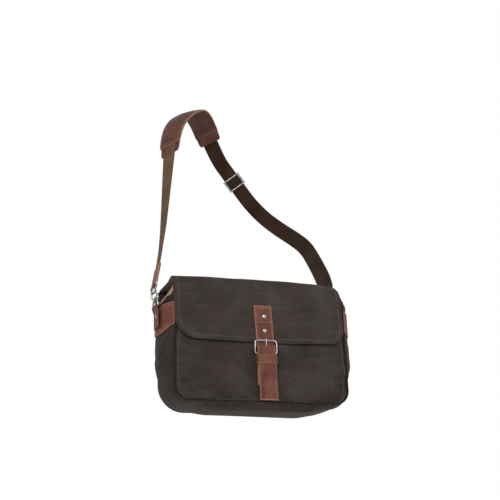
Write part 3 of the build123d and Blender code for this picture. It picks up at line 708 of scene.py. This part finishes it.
def make_pad_base():
    """Leather under the webbing, which reaches past the pad's hem at both ends."""
    half, top, low = 28.5, -1.15, -3.4
    section = [(-half, -1.5), (-half + 1, top), (half - 1, top), (half, -1.5),
               (half, -3.0), (half - 1, low), (-half + 1, low), (-half, -3.0)]
    shares = np.linspace(*PAD_BASE_SHARES, 90)
    to_end = np.minimum(shares - shares[0], shares[-1] - shares) * STRAP_LENGTH / MM
    widths = 1 - 0.17 * smoothstep(to_end, 30, 45) - 0.10 * (1 - smoothstep(to_end, 0, 9)) ** 2
    base = strip_tube("shoulder_pad_base_leather", shares, section, [PAD_LEATHER], widths)
    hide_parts("shoulder_pad_base")


def strap_end_frames(end, distances):
    """Points, outer normals and width directions at distances from the eye's bar along a leather end."""
    (start, facing), (following, turned) = STRAP_ROUTE[:2] if end == 0 else STRAP_ROUTE[:-3:-1]
    reach = np.array(following) - start
    ahead = unit(reach)
    distances = np.asarray(distances, float)[:, None]
    share = distances / np.linalg.norm(reach)
    facing = (1 - share) * np.array(facing) + share * np.array(turned)
    normal = unit(facing - ahead * (facing @ ahead)[:, None])
    return start + ahead * distances, normal, np.cross(ahead, normal)


def make_strap_end(end, side):
    """Leather folded round the eye's bar and sewn over both faces of the webbing; returns its seams."""
    half = STRAP_WIDTH / 2 + 0.3
    fold = np.linspace(0.08, 1, 9)[:-1] * np.pi / 2
    flat = np.linspace(0, STRAP_END_LENGTH, 40)
    along = np.concatenate([-STRAP_END_FOLD * np.cos(fold), flat])
    stands = [STRAP_END_FOLD, STRAP_END_FACE, STRAP_END_FACE, 2.7]
    stand = np.interp(flat, [0, 12, 50, STRAP_END_LENGTH], stands)
    stand = np.concatenate([STRAP_END_FOLD * np.sin(fold), stand])[:, None]
    a = half * np.sin(np.linspace(-1, 1, 17) * np.pi / 2)
    crown = 0.2 * np.clip(1 - (a / 14) ** 2, 0, 1)
    out = stand * (0.7 + 0.3 * smoothstep(half - np.abs(a), 0.0, 1.4)) + crown
    ring = sleeve(*strap_end_frames(end, along), a, out, -out)
    position = np.concatenate([a, a[::-1]])
    wear_and_seam_shade = np.maximum(smoothstep(np.abs(position), half - 1.6, half)[None],
                      smoothstep(along, STRAP_END_LENGTH - 1.5, STRAP_END_LENGTH)[:, None]) * 0.8
    piece = sleeve_mesh(f"strap_end_{side}_leather", ring, a, along, wear_and_seam_shade, LEATHER)
    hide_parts(f"strap_end_{side}")
    runs = []
    spots, normal, across = strap_end_frames(end, np.linspace(15, 49, 12))
    row = np.linspace(-13, 13, 12)[:, None]
    for way in (-1, 1):
        lift = normal * way * (STRAP_END_FACE + 0.03)
        runs += [(spots + lift + across * seam, normal * way) for seam in (-STRAP_END_SEAM, STRAP_END_SEAM)]
        runs.append((spots[-1] + lift[-1] + across[-1] * row, np.tile(normal[-1] * way, (12, 1))))
    return runs


def make_strap_ends():
    runs = make_strap_end(0, "left") + make_strap_end(1, "right")
    stitches("strap_end_stitching", runs, "strap", slot="leather")


# ---- the bag's shell
SIDE_ROWS = 50
TURN_ROWS = 10
PANEL_COLUMNS = 89
DEPTH_COLUMNS = 29


def panel_front(x):
    """Y of the front panel's outer face."""
    return -HALF_DEPTH - PANEL_BULGE * (1 - (np.asarray(x) / HALF_WIDTH) ** 2)


def settle(points):
    """The left front seam draws in a little, and the mouth's right front corner slumps under the flap."""
    x, y, z = np.moveaxis(points, -1, 0)
    draw = (0.5 + 5.0 * smoothstep(z, 100, 160)) * smoothstep(-x, 110, 188) * (1 - smoothstep(y, -56, 30))
    slump = 10.0 * smoothstep(x, 120, 190) * smoothstep(z, 212, 258) * (1 - smoothstep(y, -50, 40))
    return points + joined(draw - slump, 0, -0.35 * slump)


def panel_grid(front, top, inset=0.0):
    """Panel with rounded bottom corners, row by row from its top edge, seen from the front."""
    sag = CORNER_R if front else BACK_CORNER_R
    corner = sag - inset
    turn = np.radians(np.linspace(0, 90, TURN_ROWS + 1))[1:]
    height = np.concatenate([np.linspace(top, sag, SIDE_ROWS + 1), sag - corner * np.sin(turn)])
    inner = HALF_WIDTH - sag
    reach = np.concatenate([np.full(SIDE_ROWS + 1, inner + corner), inner + corner * np.cos(turn)])
    x = reach[:, None] * np.linspace(-1, 1, PANEL_COLUMNS)[None]
    return joined(x, panel_front(x) + inset if front else HALF_DEPTH - inset, height[:, None])


def around(grid):
    """A panel's edge from its top left corner down, along the bottom and up to its top right corner."""
    return np.concatenate([grid[:-1, 0], grid[-1], grid[:-1, -1][::-1]])


def edge_outward(edge):
    """Unit directions out of the bag, square to its outline seen from the front, along a panel's edge."""
    x = edge[:, 0] - np.clip(edge[:, 0], CORNER_R - HALF_WIDTH, HALF_WIDTH - CORNER_R)
    return unit(joined(x, 0, edge[:, 2] - np.maximum(edge[:, 2], CORNER_R)))


def gusset_grid(front, back, rise):
    """Strip between two panels' edges, station by station from the top left, puffed out by its rise."""
    near, far = around(front), around(back)
    t = np.linspace(0, 1, DEPTH_COLUMNS)
    grid = near[:, None] * (1 - t[:, None]) + far[:, None] * t[:, None]
    on_left = near[:, :1] < 0
    dip = np.where(on_left, *MOUTH_DIP) * (1 - (2 * t - 1) ** 2)
    sunk = np.where(on_left, *MOUTH_SINK) * ((1 - np.exp(-t / 0.025)) * (1 - t) ** 2)
    above = np.clip((grid[..., 2] - CORNER_R) / (grid[0, :, 2] - CORNER_R), 0, 1)
    grid[..., 2] -= above * (dip + sunk)
    rightness = smoothstep(near[:, 0], -170, 190)[:, None]
    return grid + edge_outward(near)[:, None] * (rise(grid) * side_bow(rightness, t))[..., None]


def side_bow(rightness, t):
    """Share of the gusset's puff across its depth; the right side is squarer, fullest near the front."""
    left = 1 - np.abs(2 * t - 1) ** 2.4
    right = 1 - np.abs(2 * t - 1) ** 4.5 + 0.22 * np.exp(-(((t - 0.2) / 0.09) ** 2)) * smoothstep(t, 0, 0.06)
    return left * (1 - rightness) + right * rightness


def gusset_rise(grid):
    """The gusset is fullest along the sides, flatter underneath and drawn in at its bottom corners."""
    x, z = np.abs(grid[..., 0]), grid[..., 2]
    corner = smoothstep(x, 95, 160) * (1 - smoothstep(z, 30, 95))
    under = 1 - smoothstep(z, 2, 30)
    return GUSSET_RISE * (1 - 0.68 * corner - 0.12 * under * (1 - corner))


def make_shell():
    """Front, back and gusset as grids, swollen together so that they stay joined at their seams."""
    front = panel_grid(True, FRONT_TOP)
    back = panel_grid(False, BACK_TOP)
    side = gusset_grid(front, back, gusset_rise)
    stations, depth = side.shape[:2]
    number = np.arange(front[..., 0].size).reshape(front.shape[:2])
    edge_front = around(number)
    edge_back = edge_front + number.size
    between = 2 * number.size + np.arange(stations * (depth - 2)).reshape(stations, depth - 2)
    side_number = np.concatenate([edge_front[:, None], between, edge_back[:, None]], 1)
    points = np.concatenate([front.reshape(-1, 3), back.reshape(-1, 3), side[:, 1:-1].reshape(-1, 3)])
    flat = quads(*front.shape[:2])
    faces = np.concatenate([flat[:, ::-1], flat + number.size, side_number.ravel()[quads(stations, depth)]])
    x, z = np.abs(points[:, 0]), points[:, 2]
    on_front = np.arange(len(points)) < number.size
    on_side = np.arange(len(points)) >= 2 * number.size
    front_cap = 0.35 + 5.0 * smoothstep(x, 26, 50) * (1 - smoothstep(z, 108, 126))
    side_cap = 0.9 + 3.2 * ((1 - smoothstep(z, 80, 150)) * smoothstep(z, 4, 50))
    caps = np.select([on_front, on_side], [front_cap, side_cap], 2.5)
    under_band = on_side & (z > BAND_BOTTOM - 16) & (z < BAND_TOP + 12) & (x > 150)
    pinned = under_band.astype(float)
    for seam in (edge_front, edge_back, number[0], number[0] + number.size, side_number[0], side_number[-1]):
        pinned[seam] = 1
    points[:, 1] += ripple(points, 90.0, 5) * (caps * 0.25)
    points = settle(swell(points, faces, pinned, caps, pressure=3.5, grow=0.025, bending=0.35))
    return points[number], points[number + number.size], points[side_number]


FRONT, BACK, SIDE = make_shell()


def make_panels():
    """Padded front, back and gusset, each one plate of cloth for its canvas and its foam."""
    # Their 5 mm edge share is where the canvas takes painted seam shade.
    front = plate("front_panel_cloth", FRONT, 1.6, [CANVAS], wear_and_seam_shade_width=5.0, outward=-1)
    back = plate("back_panel_cloth", BACK, 1.6, [CANVAS], wear_and_seam_shade_width=5.0)
    side = plate("gusset_cloth", SIDE, 1.5, [GUSSET_CANVAS], wear_and_seam_shade_width=5.0)
    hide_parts("front_panel", "front_padding")
    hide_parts("back_panel", "back_padding")
    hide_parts("gusset", "gusset_padding")


def make_topstitching():
    """A row of stitches just inside the seams of the front and back panels."""
    for name, grid, way in (("front", FRONT, -1), ("back", BACK, 1)):
        normals = grid_normals(grid) * way
        run = (around(grid[3:-2, 2:-2]), around(normals[3:-2, 2:-2]))
        stitches(f"{name}_panel_stitching", [run], "bag")


def make_welts():
    """A cord covered in cloth along the front and the back seam; its canvas is darkened as painted seam
    shade.
    """
    radius, sides = 1.9, 10
    angles = (np.arange(sides) * 2 * np.pi / sides)[:, None]
    for name, grid, out in (("front_welt", FRONT, -0.3), ("back_welt", BACK, 0.3)):
        edge = around(grid)
        away = edge_outward(edge)
        line = edge + away * 0.9 + np.array([0, out, 0]) + ripple(edge, 60.0, 3)[:, None] * away * 0.25
        ahead = unit(np.gradient(line, axis=0))
        across = unit(np.cross(ahead, (0.0, -1.0, 0.0)))
        upright = np.cross(across, ahead)
        ring = (across[:, None] * np.cos(angles) + upright[:, None] * np.sin(angles)) * radius
        welt = new_mesh(name + "_cord", line[:, None] + ring, ring_faces(len(line), sides), [PAINTED_SHADE_WELT])
        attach(welt, "bag")
        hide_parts(name)


def make_lining():
    """Tan lining inside the bag, open at the top."""
    inset = 5.5
    front = panel_grid(True, FRONT_TOP - 2, inset)
    back = panel_grid(False, BACK_TOP - 4, inset)
    side = gusset_grid(front, back, lambda g: 2 + (GUSSET_RISE - 1) * smoothstep(g[..., 2], 130, 200))
    for part, grid, way in (("front", front, -1), ("back", back, 1), ("side", side, 1)):
        creased = grid + grid_normals(grid) * ripple(grid, 45.0, 11)[..., None] * 0.48
        if part == "side":
            creased[:, [0, -1]] = grid[:, [0, -1]]
        creased = settle(creased)
        plate(f"lining_{part}", creased, 0.8, [LINING], outward=way, wear_and_seam_shade_width=0.1)
    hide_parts("lining")


# ---- the flap
def flap_front_y(x, z):
    """Y of the outer face of the flap's front, which stands off a little more towards its free edge."""
    place = joined(x, 0, z)
    free = 1 - smoothstep(z, FLAP_BOTTOM, 215)
    by_belt = smoothstep(np.abs(x - CLOSURE_X), 22, 60)
    corner = smoothstep(np.abs(x), 110, FLAP_HALF) * (1 - smoothstep(z, FLAP_BOTTOM, FLAP_BOTTOM + 60))
    lift = free * (0.3 + 2.2 * by_belt) + 1.6 * corner
    wave = ripple(place, 95.0, 21) * 0.55 * (0.35 + 0.65 * free) * by_belt
    pucker = ripple(place, 34.0, 22) * 0.16 * by_belt
    return panel_front(x) - FLAP_STAND - lift - wave - pucker


def fold_y(x):
    """Y of the middle of the flap's front fold."""
    return flap_front_y(x, FLAP_TOP - FOLD_R) + FOLD_R


def flap_point(x, v):
    """Point of the flap's outer face: v runs back from the fold over the top, and down the front."""
    x, v = np.broadcast_arrays(x, v)
    top_z = FLAP_TOP + 0.5 * ripple(joined(x, v, 0), 120.0, 31) - 0.6 * (x / FLAP_HALF) ** 2
    shorter = 1 - (4.0 * smoothstep(-x, 40, 180) + 6.0 * smoothstep(x, 50, 180)) / (FLAP_DROP - FOLD_RUN)
    front_z = FLAP_TOP - FOLD_R - np.maximum(v - FOLD_RUN, 0) * shorter
    angle = np.clip(v / FOLD_R, 0, np.pi / 2)
    parts = [v < 0, v < FOLD_RUN]
    y = np.select(parts, [fold_y(x) - v, fold_y(x) - FOLD_R * np.sin(angle)], flap_front_y(x, front_z))
    z = np.select(parts, [top_z, top_z - FOLD_R * (1 - np.cos(angle))], front_z)
    wider = 4.0 * smoothstep(-x, 120, FLAP_HALF) * np.exp(-((v / 26.0) ** 2))
    narrower = 11.0 * smoothstep(x, 120, FLAP_HALF) * np.exp(-(np.maximum(np.abs(v) - 4, 0) / 17.0) ** 2)
    return joined(x - wider - narrower, y, z - 0.3 * narrower)


def flap_reach(v, radius):
    """Half width of the flap at a distance down from the fold, on the side with a corner radius."""
    down = np.clip(v - (FLAP_DROP - radius), 0, radius)
    return FLAP_HALF - radius + np.sqrt(np.maximum(radius**2 - down**2, 0))


def make_flap():
    """One sheet over the top and down the front, rolled over the fold, with rounded lower corners."""
    largest = max(FLAP_CORNERS)
    turn = np.radians(np.linspace(0, 90, 15))[1:]
    back_run = FLAP_REAR_Y + HALF_DEPTH
    v = np.concatenate([
        np.linspace(-back_run, -4, 26),
        np.linspace(0, FOLD_RUN, 8),
        np.linspace(FOLD_RUN + 4, FLAP_DROP - largest, 24),
        FLAP_DROP - largest + largest * np.sin(turn),
    ])[:, None]
    share = np.linspace(0, 1, 91)
    left, right = (flap_reach(v, radius) for radius in FLAP_CORNERS)
    x = -left * (1 - share) + right * share
    run = np.where(v < 0, v * (FLAP_REAR_Y - fold_y(x)) / back_run, v)
    uv = np.stack([x, -run], -1)
    flap = plate("flap", flap_point(x, run), 2.3, [FLAP_CANVAS, LINING], uv,
                 wear_and_seam_shade_width=1.2, body=None, outward=-1)
    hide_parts("flap_front_canvas", "flap_front_lining", "flap_top_canvas", "flap_top_lining")
    return flap


def flap_line(inset):
    """Line a fixed distance inside the flap's edge: from behind the fold down, along, and back up."""
    angles = np.radians(np.linspace(0, 90, 16))
    turn = joined(np.cos(angles), np.sin(angles))
    sides = []
    for way, radius in zip((-1, 1), FLAP_CORNERS):
        straight = joined(FLAP_HALF - inset, np.linspace(-60, FLAP_DROP - radius, 60))
        corner = np.array([FLAP_HALF, FLAP_DROP]) - radius + (radius - inset) * turn
        sides.append(np.concatenate([straight, corner]) * (way, 1))
    left, right = sides
    bottom = joined(np.linspace(left[-1, 0], right[-1, 0], 90)[1:-1], FLAP_DROP - inset)
    return np.concatenate([left, bottom, right[::-1]])


def flap_run(inset):
    """Points and normals on the flap's outer face along such a line."""
    x, v = flap_line(inset).T
    dx = flap_point(x + 0.5, v) - flap_point(x - 0.5, v)
    dv = flap_point(x, v + 0.5) - flap_point(x, v - 0.5)
    normals = unit(np.cross(dv, dx))
    normals *= np.where((normals[:, 1] - normals[:, 2]) > 0, -1, 1)[:, None]
    return flap_point(x, v), normals


def make_flap_and_stitching():
    flap = make_flap()
    stitching = stitches("flap_stitching", [flap_run(FLAP_SEAM)], None)
    for cloth in (flap, stitching):
        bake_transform(cloth)


def make_rear_strip():
    """Canvas strip that hinges the flap: sewn to the flap's top and down the back panel."""
    path = rounded_path([(44, 262.3), (57, 262.3), (62.2, 257), (63.0, 240)], rounds=4)
    grid = joined(np.linspace(-FLAP_HALF + 1, FLAP_HALF - 1, 75), path[:, :1], path[:, 1:])
    grid[..., 1] += ripple(grid, 80.0, 41) * 0.25
    strip = plate("flap_rear_strip", grid, 1.3, [CANVAS], wear_and_seam_shade_width=1.5, body=None)
    runs = grid_runs(grid, grid_normals(grid), rows=(2, -3, -6))
    stitching = stitches("flap_rear_stitching", runs, None)
    for cloth in (strip, stitching):
        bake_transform(cloth)


# ---- leather straps of the closure
BELT_THICK = 3.0
HEEL_BAR_Y = -77.0        # the buckle's heel bar, which the chape is folded round
HEEL_BAR_R = 1.75
CHAPE_FOLD = 2.0          # room for the chape's leather between the bar and the belt
CHAPE_FACE_Y = -80.4      # the chape's front face at the heel bar
CHAPE_LOW_Y = -76.3       # and lower down, where it lies against the flap


def front_strip(name, path, half, thickness, shift):
    """Leather strip on the flap's front, whose face follows (y, z) points from its top end down."""
    edge = np.array([0.0, 0.35, 0.9, 1.8])
    columns = np.concatenate([edge - half, np.linspace(3.2 - half, half - 3.2, 13), half - edge[::-1]])
    tangent = unit(np.gradient(path, axis=0))
    normal = np.stack([tangent[:, 1], -tangent[:, 0]], 1)
    normal *= np.where(normal[:, 0] > 0, -1, 1)[:, None]
    skived = 0.45 * np.clip(1 - (half - np.abs(columns)) / 2.2, 0, 1) ** 2
    sink = skived - 0.25 * (1 - (columns / half) ** 2)
    grid = joined(columns + shift, path[:, :1] - normal[:, :1] * sink, path[:, 1:] - normal[:, 1:] * sink)
    piece = plate(name, grid, thickness, [LEATHER], wear_and_seam_shade_width=1.8, body="flap_front", outward=-1)
    return piece, grid


def make_closure():
    """Belt from the flap's front, over the buckle's heel bar, to its free end, and the chape behind it."""
    face_y = -HALF_DEPTH - PANEL_BULGE - FLAP_STAND - 3.1
    heel_y = HEEL_BAR_Y - HEEL_BAR_R - CHAPE_FOLD - BELT_THICK
    path = rounded_path([(face_y, 200), (face_y, 121), (heel_y + 0.6, 112), (heel_y, 102), (heel_y, 66),
                         (heel_y + 3.5, 48), (heel_y + 3.2, 1)])
    z = path[:, 1:]
    shift = CLOSURE_X - 2.2 * smoothstep(z, 140, 200) + 2.6 * smoothstep(-z, -110, -5)
    belt, face = front_strip("closure_belt_leather", path, BELT_HALF, BELT_THICK, shift)
    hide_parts("closure_belt")
    sewn_to, rivet_row = (np.argmin(np.abs(path[:, 1] - height)) for height in (126, 166))
    normals = -grid_normals(face)
    runs = grid_runs(face, normals, columns=(4, -5), part=slice(3, sewn_to))
    runs += grid_runs(face, normals, rows=(3, rivet_row), part=slice(3, -3))
    stitches("closure_belt_stitching", runs, "flap_front", slot="leather")
    path = rounded_path([(CHAPE_FACE_Y, 101), (CHAPE_FACE_Y, 88), (CHAPE_LOW_Y, 62), (CHAPE_LOW_Y, 32)])
    chape, _ = front_strip("closure_chape_leather", path, BELT_HALF - 0.4, 3.2, CLOSURE_X)
    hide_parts("closure_chape")


KEEPER_BOTTOM = 75.2
KEEPER_FRONT, KEEPER_BACK = -84.3, -73.0
KEEPER_CORNER = 2.4
KEEPER_THICK = 1.5
# Heights up the keeper, and how proud its outer face is there: a line is pressed along each edge.
KEEPER_SHAPE = [(0, -0.5), (0.3, -0.1), (0.9, 0.15), (2.0, 0.2), (2.6, -0.12), (3.2, 0.2), (4.5, 0.3),
                (7, 0.4), (9.2, 0.45), (11.5, 0.4), (14, 0.3), (15.5, 0.2), (16.1, -0.12), (16.7, 0.2),
                (17.8, 0.15), (18.4, -0.1), (18.7, -0.5)]


def make_keeper():
    """Leather loop round the belt and the chape, with a line pressed along each edge."""
    reach = BELT_HALF + 1.6 - KEEPER_CORNER
    depth = (KEEPER_BACK - KEEPER_FRONT) / 2 - KEEPER_CORNER
    middle = (KEEPER_FRONT + KEEPER_BACK) / 2
    ring = []
    for cx, cy, start in ((-1, -1, 180), (1, -1, 270), (1, 1, 0), (-1, 1, 90)):
        for angle in np.radians(np.linspace(start, start + 90, 6)):
            ring.append((cx * reach + KEEPER_CORNER * np.cos(angle),
                         middle + cy * depth + KEEPER_CORNER * np.sin(angle)))
    ring = np.array(ring + ring[:1])
    along = arc_lengths(ring)
    ring = along_line(np.linspace(0, along[-1], 121)[:-1], along, ring)
    step = ring - np.roll(ring, 1, axis=0)
    out = np.stack([step[:, 1], -step[:, 0]], 1)
    out = unit((out + np.roll(out, -1, axis=0)) / 2)
    loops = [(ring + out * (KEEPER_THICK + proud), height) for height, proud in KEEPER_SHAPE]
    loops += [(ring, height) for height, _ in reversed(KEEPER_SHAPE)]
    section = np.stack([joined(loop[:, 0], loop[:, 1], KEEPER_BOTTOM + height) for loop, height in loops])
    rows, columns = section.shape[:2]
    faces = quads(rows + 1, columns, wrap=True) % (rows * columns)
    heights = np.array(KEEPER_SHAPE)[:, 0]
    near = np.minimum(heights, heights[-1] - heights)
    wear_and_seam_shade = np.concatenate([np.clip(1 - near / 1.4, 0, 1), np.zeros(len(near))])
    section += (CLOSURE_X + 0.6, 0, 0)
    keeper = new_mesh("belt_keeper_leather", section, faces, [KEEPER_LEATHER], wear_and_seam_shade=np.repeat(wear_and_seam_shade, columns))
    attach(keeper, "keeper")
    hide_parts("belt_keeper")


# ---- sides: bands, facings
def side_surface(side, t, z, proud):
    """Point a distance proud of the gusset's side, t from 0 at the front seam to 1 at the back seam."""
    step = 0.01
    rightness = float(side > 0)
    turn = side_bow(rightness, t + step) - side_bow(rightness, t - step)
    slope = GUSSET_RISE * turn / (4 * HALF_DEPTH * step)
    tilt = 1 / np.sqrt(1 + slope**2)
    x = HALF_WIDTH + GUSSET_RISE * side_bow(rightness, t) + proud * tilt
    return settle(joined(side * x, HALF_DEPTH * (2 * t - 1) - proud * tilt * slope, z))


def make_bands():
    """Leather band across each side of the gusset, with stitches along its four edges."""
    t = np.concatenate([[0.012, 0.02, 0.035], np.linspace(0.05, 0.95, 33), [0.965, 0.98, 0.988]])
    share = np.concatenate([[0, 0.012, 0.035, 0.07], np.linspace(0.12, 0.88, 11), [0.93, 0.965, 0.988, 1]])
    share = share[:, None]
    bow = 1 - (2 * t - 1) ** 2
    low = BAND_BOTTOM - 11.0 * smoothstep(bow, 0.15, 1.0)
    for side, name in SIDES:
        top = BAND_TOP + 1.0 - side * 1.5 * bow
        grid = side_surface(side, t, top * (1 - share) + low * share, 2.1)
        band = plate(f"side_band_{name}_leather", grid, 2.0, [LEATHER], outward=-side, wear_and_seam_shade_width=2.0)
        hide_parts(f"side_band_{name}")
        normals = grid_normals(grid) * -side
        runs = grid_runs(grid, normals, rows=(4, -5))
        runs += grid_runs(grid, normals, columns=(3, -4), part=slice(4, -4))
        stitches(f"side_band_{name}_stitching", runs, "bag", slot="leather")


def make_facings():
    """Tan facing folded over the gusset's dipping top edge on each side."""
    section = np.array([(1.0, -3.2), (1.25, -1.4), (1.0, 0.3), (0.0, 1.2), (-1.6, 1.2), (-2.6, 0.3),
                        (-2.9, -2), (-2.9, -10)])
    for (side, name), edge in zip(SIDES, (SIDE[0], SIDE[-1])):
        grid = edge[1:-1, None] + joined(side * section[:, 0], 0, section[:, 1])
        tab = 8.0 * (1 - smoothstep(np.linspace(0, 1, len(grid)), 0.04, 0.15))
        grid[:, 0, 2] -= tab
        grid[:, 1, 2] -= tab * 0.4
        facing = plate(f"mouth_facing_{name}_cloth", grid, 0.9, [FACING], outward=-side, wear_and_seam_shade_width=0.1)
        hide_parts(f"mouth_facing_{name}")


# ---- CAD parts that stay
def finish_cad():
    nickel = ["buckle_frame", "buckle_prong", "strap_slider", "snap_socket", "snap_stud", "belt_rivets",
              "belt_rivet_caps"]
    for part in ("d_ring", "snap_hook", "hook_gate", "swivel_eye", "tab_rivet"):
        nickel += [f"{part}_{side}" for _, side in SIDES]
    kept = {NICKEL: nickel, LEATHER: ["ring_tab_left", "ring_tab_right"], BOARD: ["base_board"]}
    for material, names in kept.items():
        for name in names:
            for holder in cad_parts[name].material_slots:
                holder.material = material


# ---- floor, world and lights
FLOOR_HALF = 8.0
FLOOR_DROP = 620.0
LIT_FROM = (0, 0, 150)    # the lamps aim here
LAMPS = [                 # name, place from there in metres, watts, size in metres
    ("key", (-1.3, -2.4, 1.5), 46, 1.4),
    ("fill", (2.0, -1.9, 0.9), 20, 1.6),
    ("back", (0.8, 2.4, 1.4), 26, 1.6),
]


def make_floor():
    mesh = bpy.data.meshes.new("floor")
    corners = [(x * FLOOR_HALF, y * FLOOR_HALF, 0) for x, y in ((-1, -1), (1, -1), (1, 1), (-1, 1))]
    mesh.from_pydata(corners, [], [(0, 1, 2, 3)])
    floor = add_object("floor", mesh)
    floor.location = to_frame((0, 0, -FLOOR_DROP))
    s = Shader("floor", {})
    colour = s.ramp(s.noise(s.object_space(), 2.0), (0.3, (0.78, 0.78, 0.78)), (0.7, (0.82, 0.82, 0.82)))
    s.set(s.bsdf, {"Base Color": colour, "Roughness": 0.8})
    mesh.materials.append(s.material)


def make_world():
    """White behind the bag, and a cooler and dimmer white that lights it."""
    world = bpy.data.worlds.new("studio")
    bpy.context.scene.world = world
    world.use_nodes = True
    nodes, links = world.node_tree.nodes, world.node_tree.links
    seen, lit = nodes["Background"], nodes.new("ShaderNodeBackground")
    seen.inputs[0].default_value = (1, 1, 1, 1)
    lit.inputs[0].default_value = (0.96, 0.98, 1.0, 1)
    lit.inputs[1].default_value = 0.62
    mix, path = nodes.new("ShaderNodeMixShader"), nodes.new("ShaderNodeLightPath")
    links.new(path.outputs["Is Camera Ray"], mix.inputs[0])
    links.new(lit.outputs[0], mix.inputs[1])
    links.new(seen.outputs[0], mix.inputs[2])
    links.new(mix.outputs[0], nodes["World Output"].inputs[0])
    bpy.context.scene.view_settings.view_transform = "Standard"


def make_lamps():
    for name, offset, power, size in LAMPS:
        lamp = bpy.data.lights.new(name, "AREA")
        lamp.energy = power
        lamp.size = size
        holder = add_object(name, lamp)
        holder.location = Vector(to_frame(LIT_FROM)) + Vector(offset)
        holder.rotation_mode = "QUATERNION"
        holder.rotation_quaternion = (-Vector(offset)).to_track_quat("-Z", "Y")


make_camera()
make_webbing_strap()
make_shoulder_pad()
make_pad_base()
make_strap_ends()
make_panels()
make_topstitching()
make_welts()
make_lining()
make_flap_and_stitching()
make_rear_strip()
make_closure()
make_keeper()
make_bands()
make_facings()
finish_cad()
make_floor()
make_world()
make_lamps()
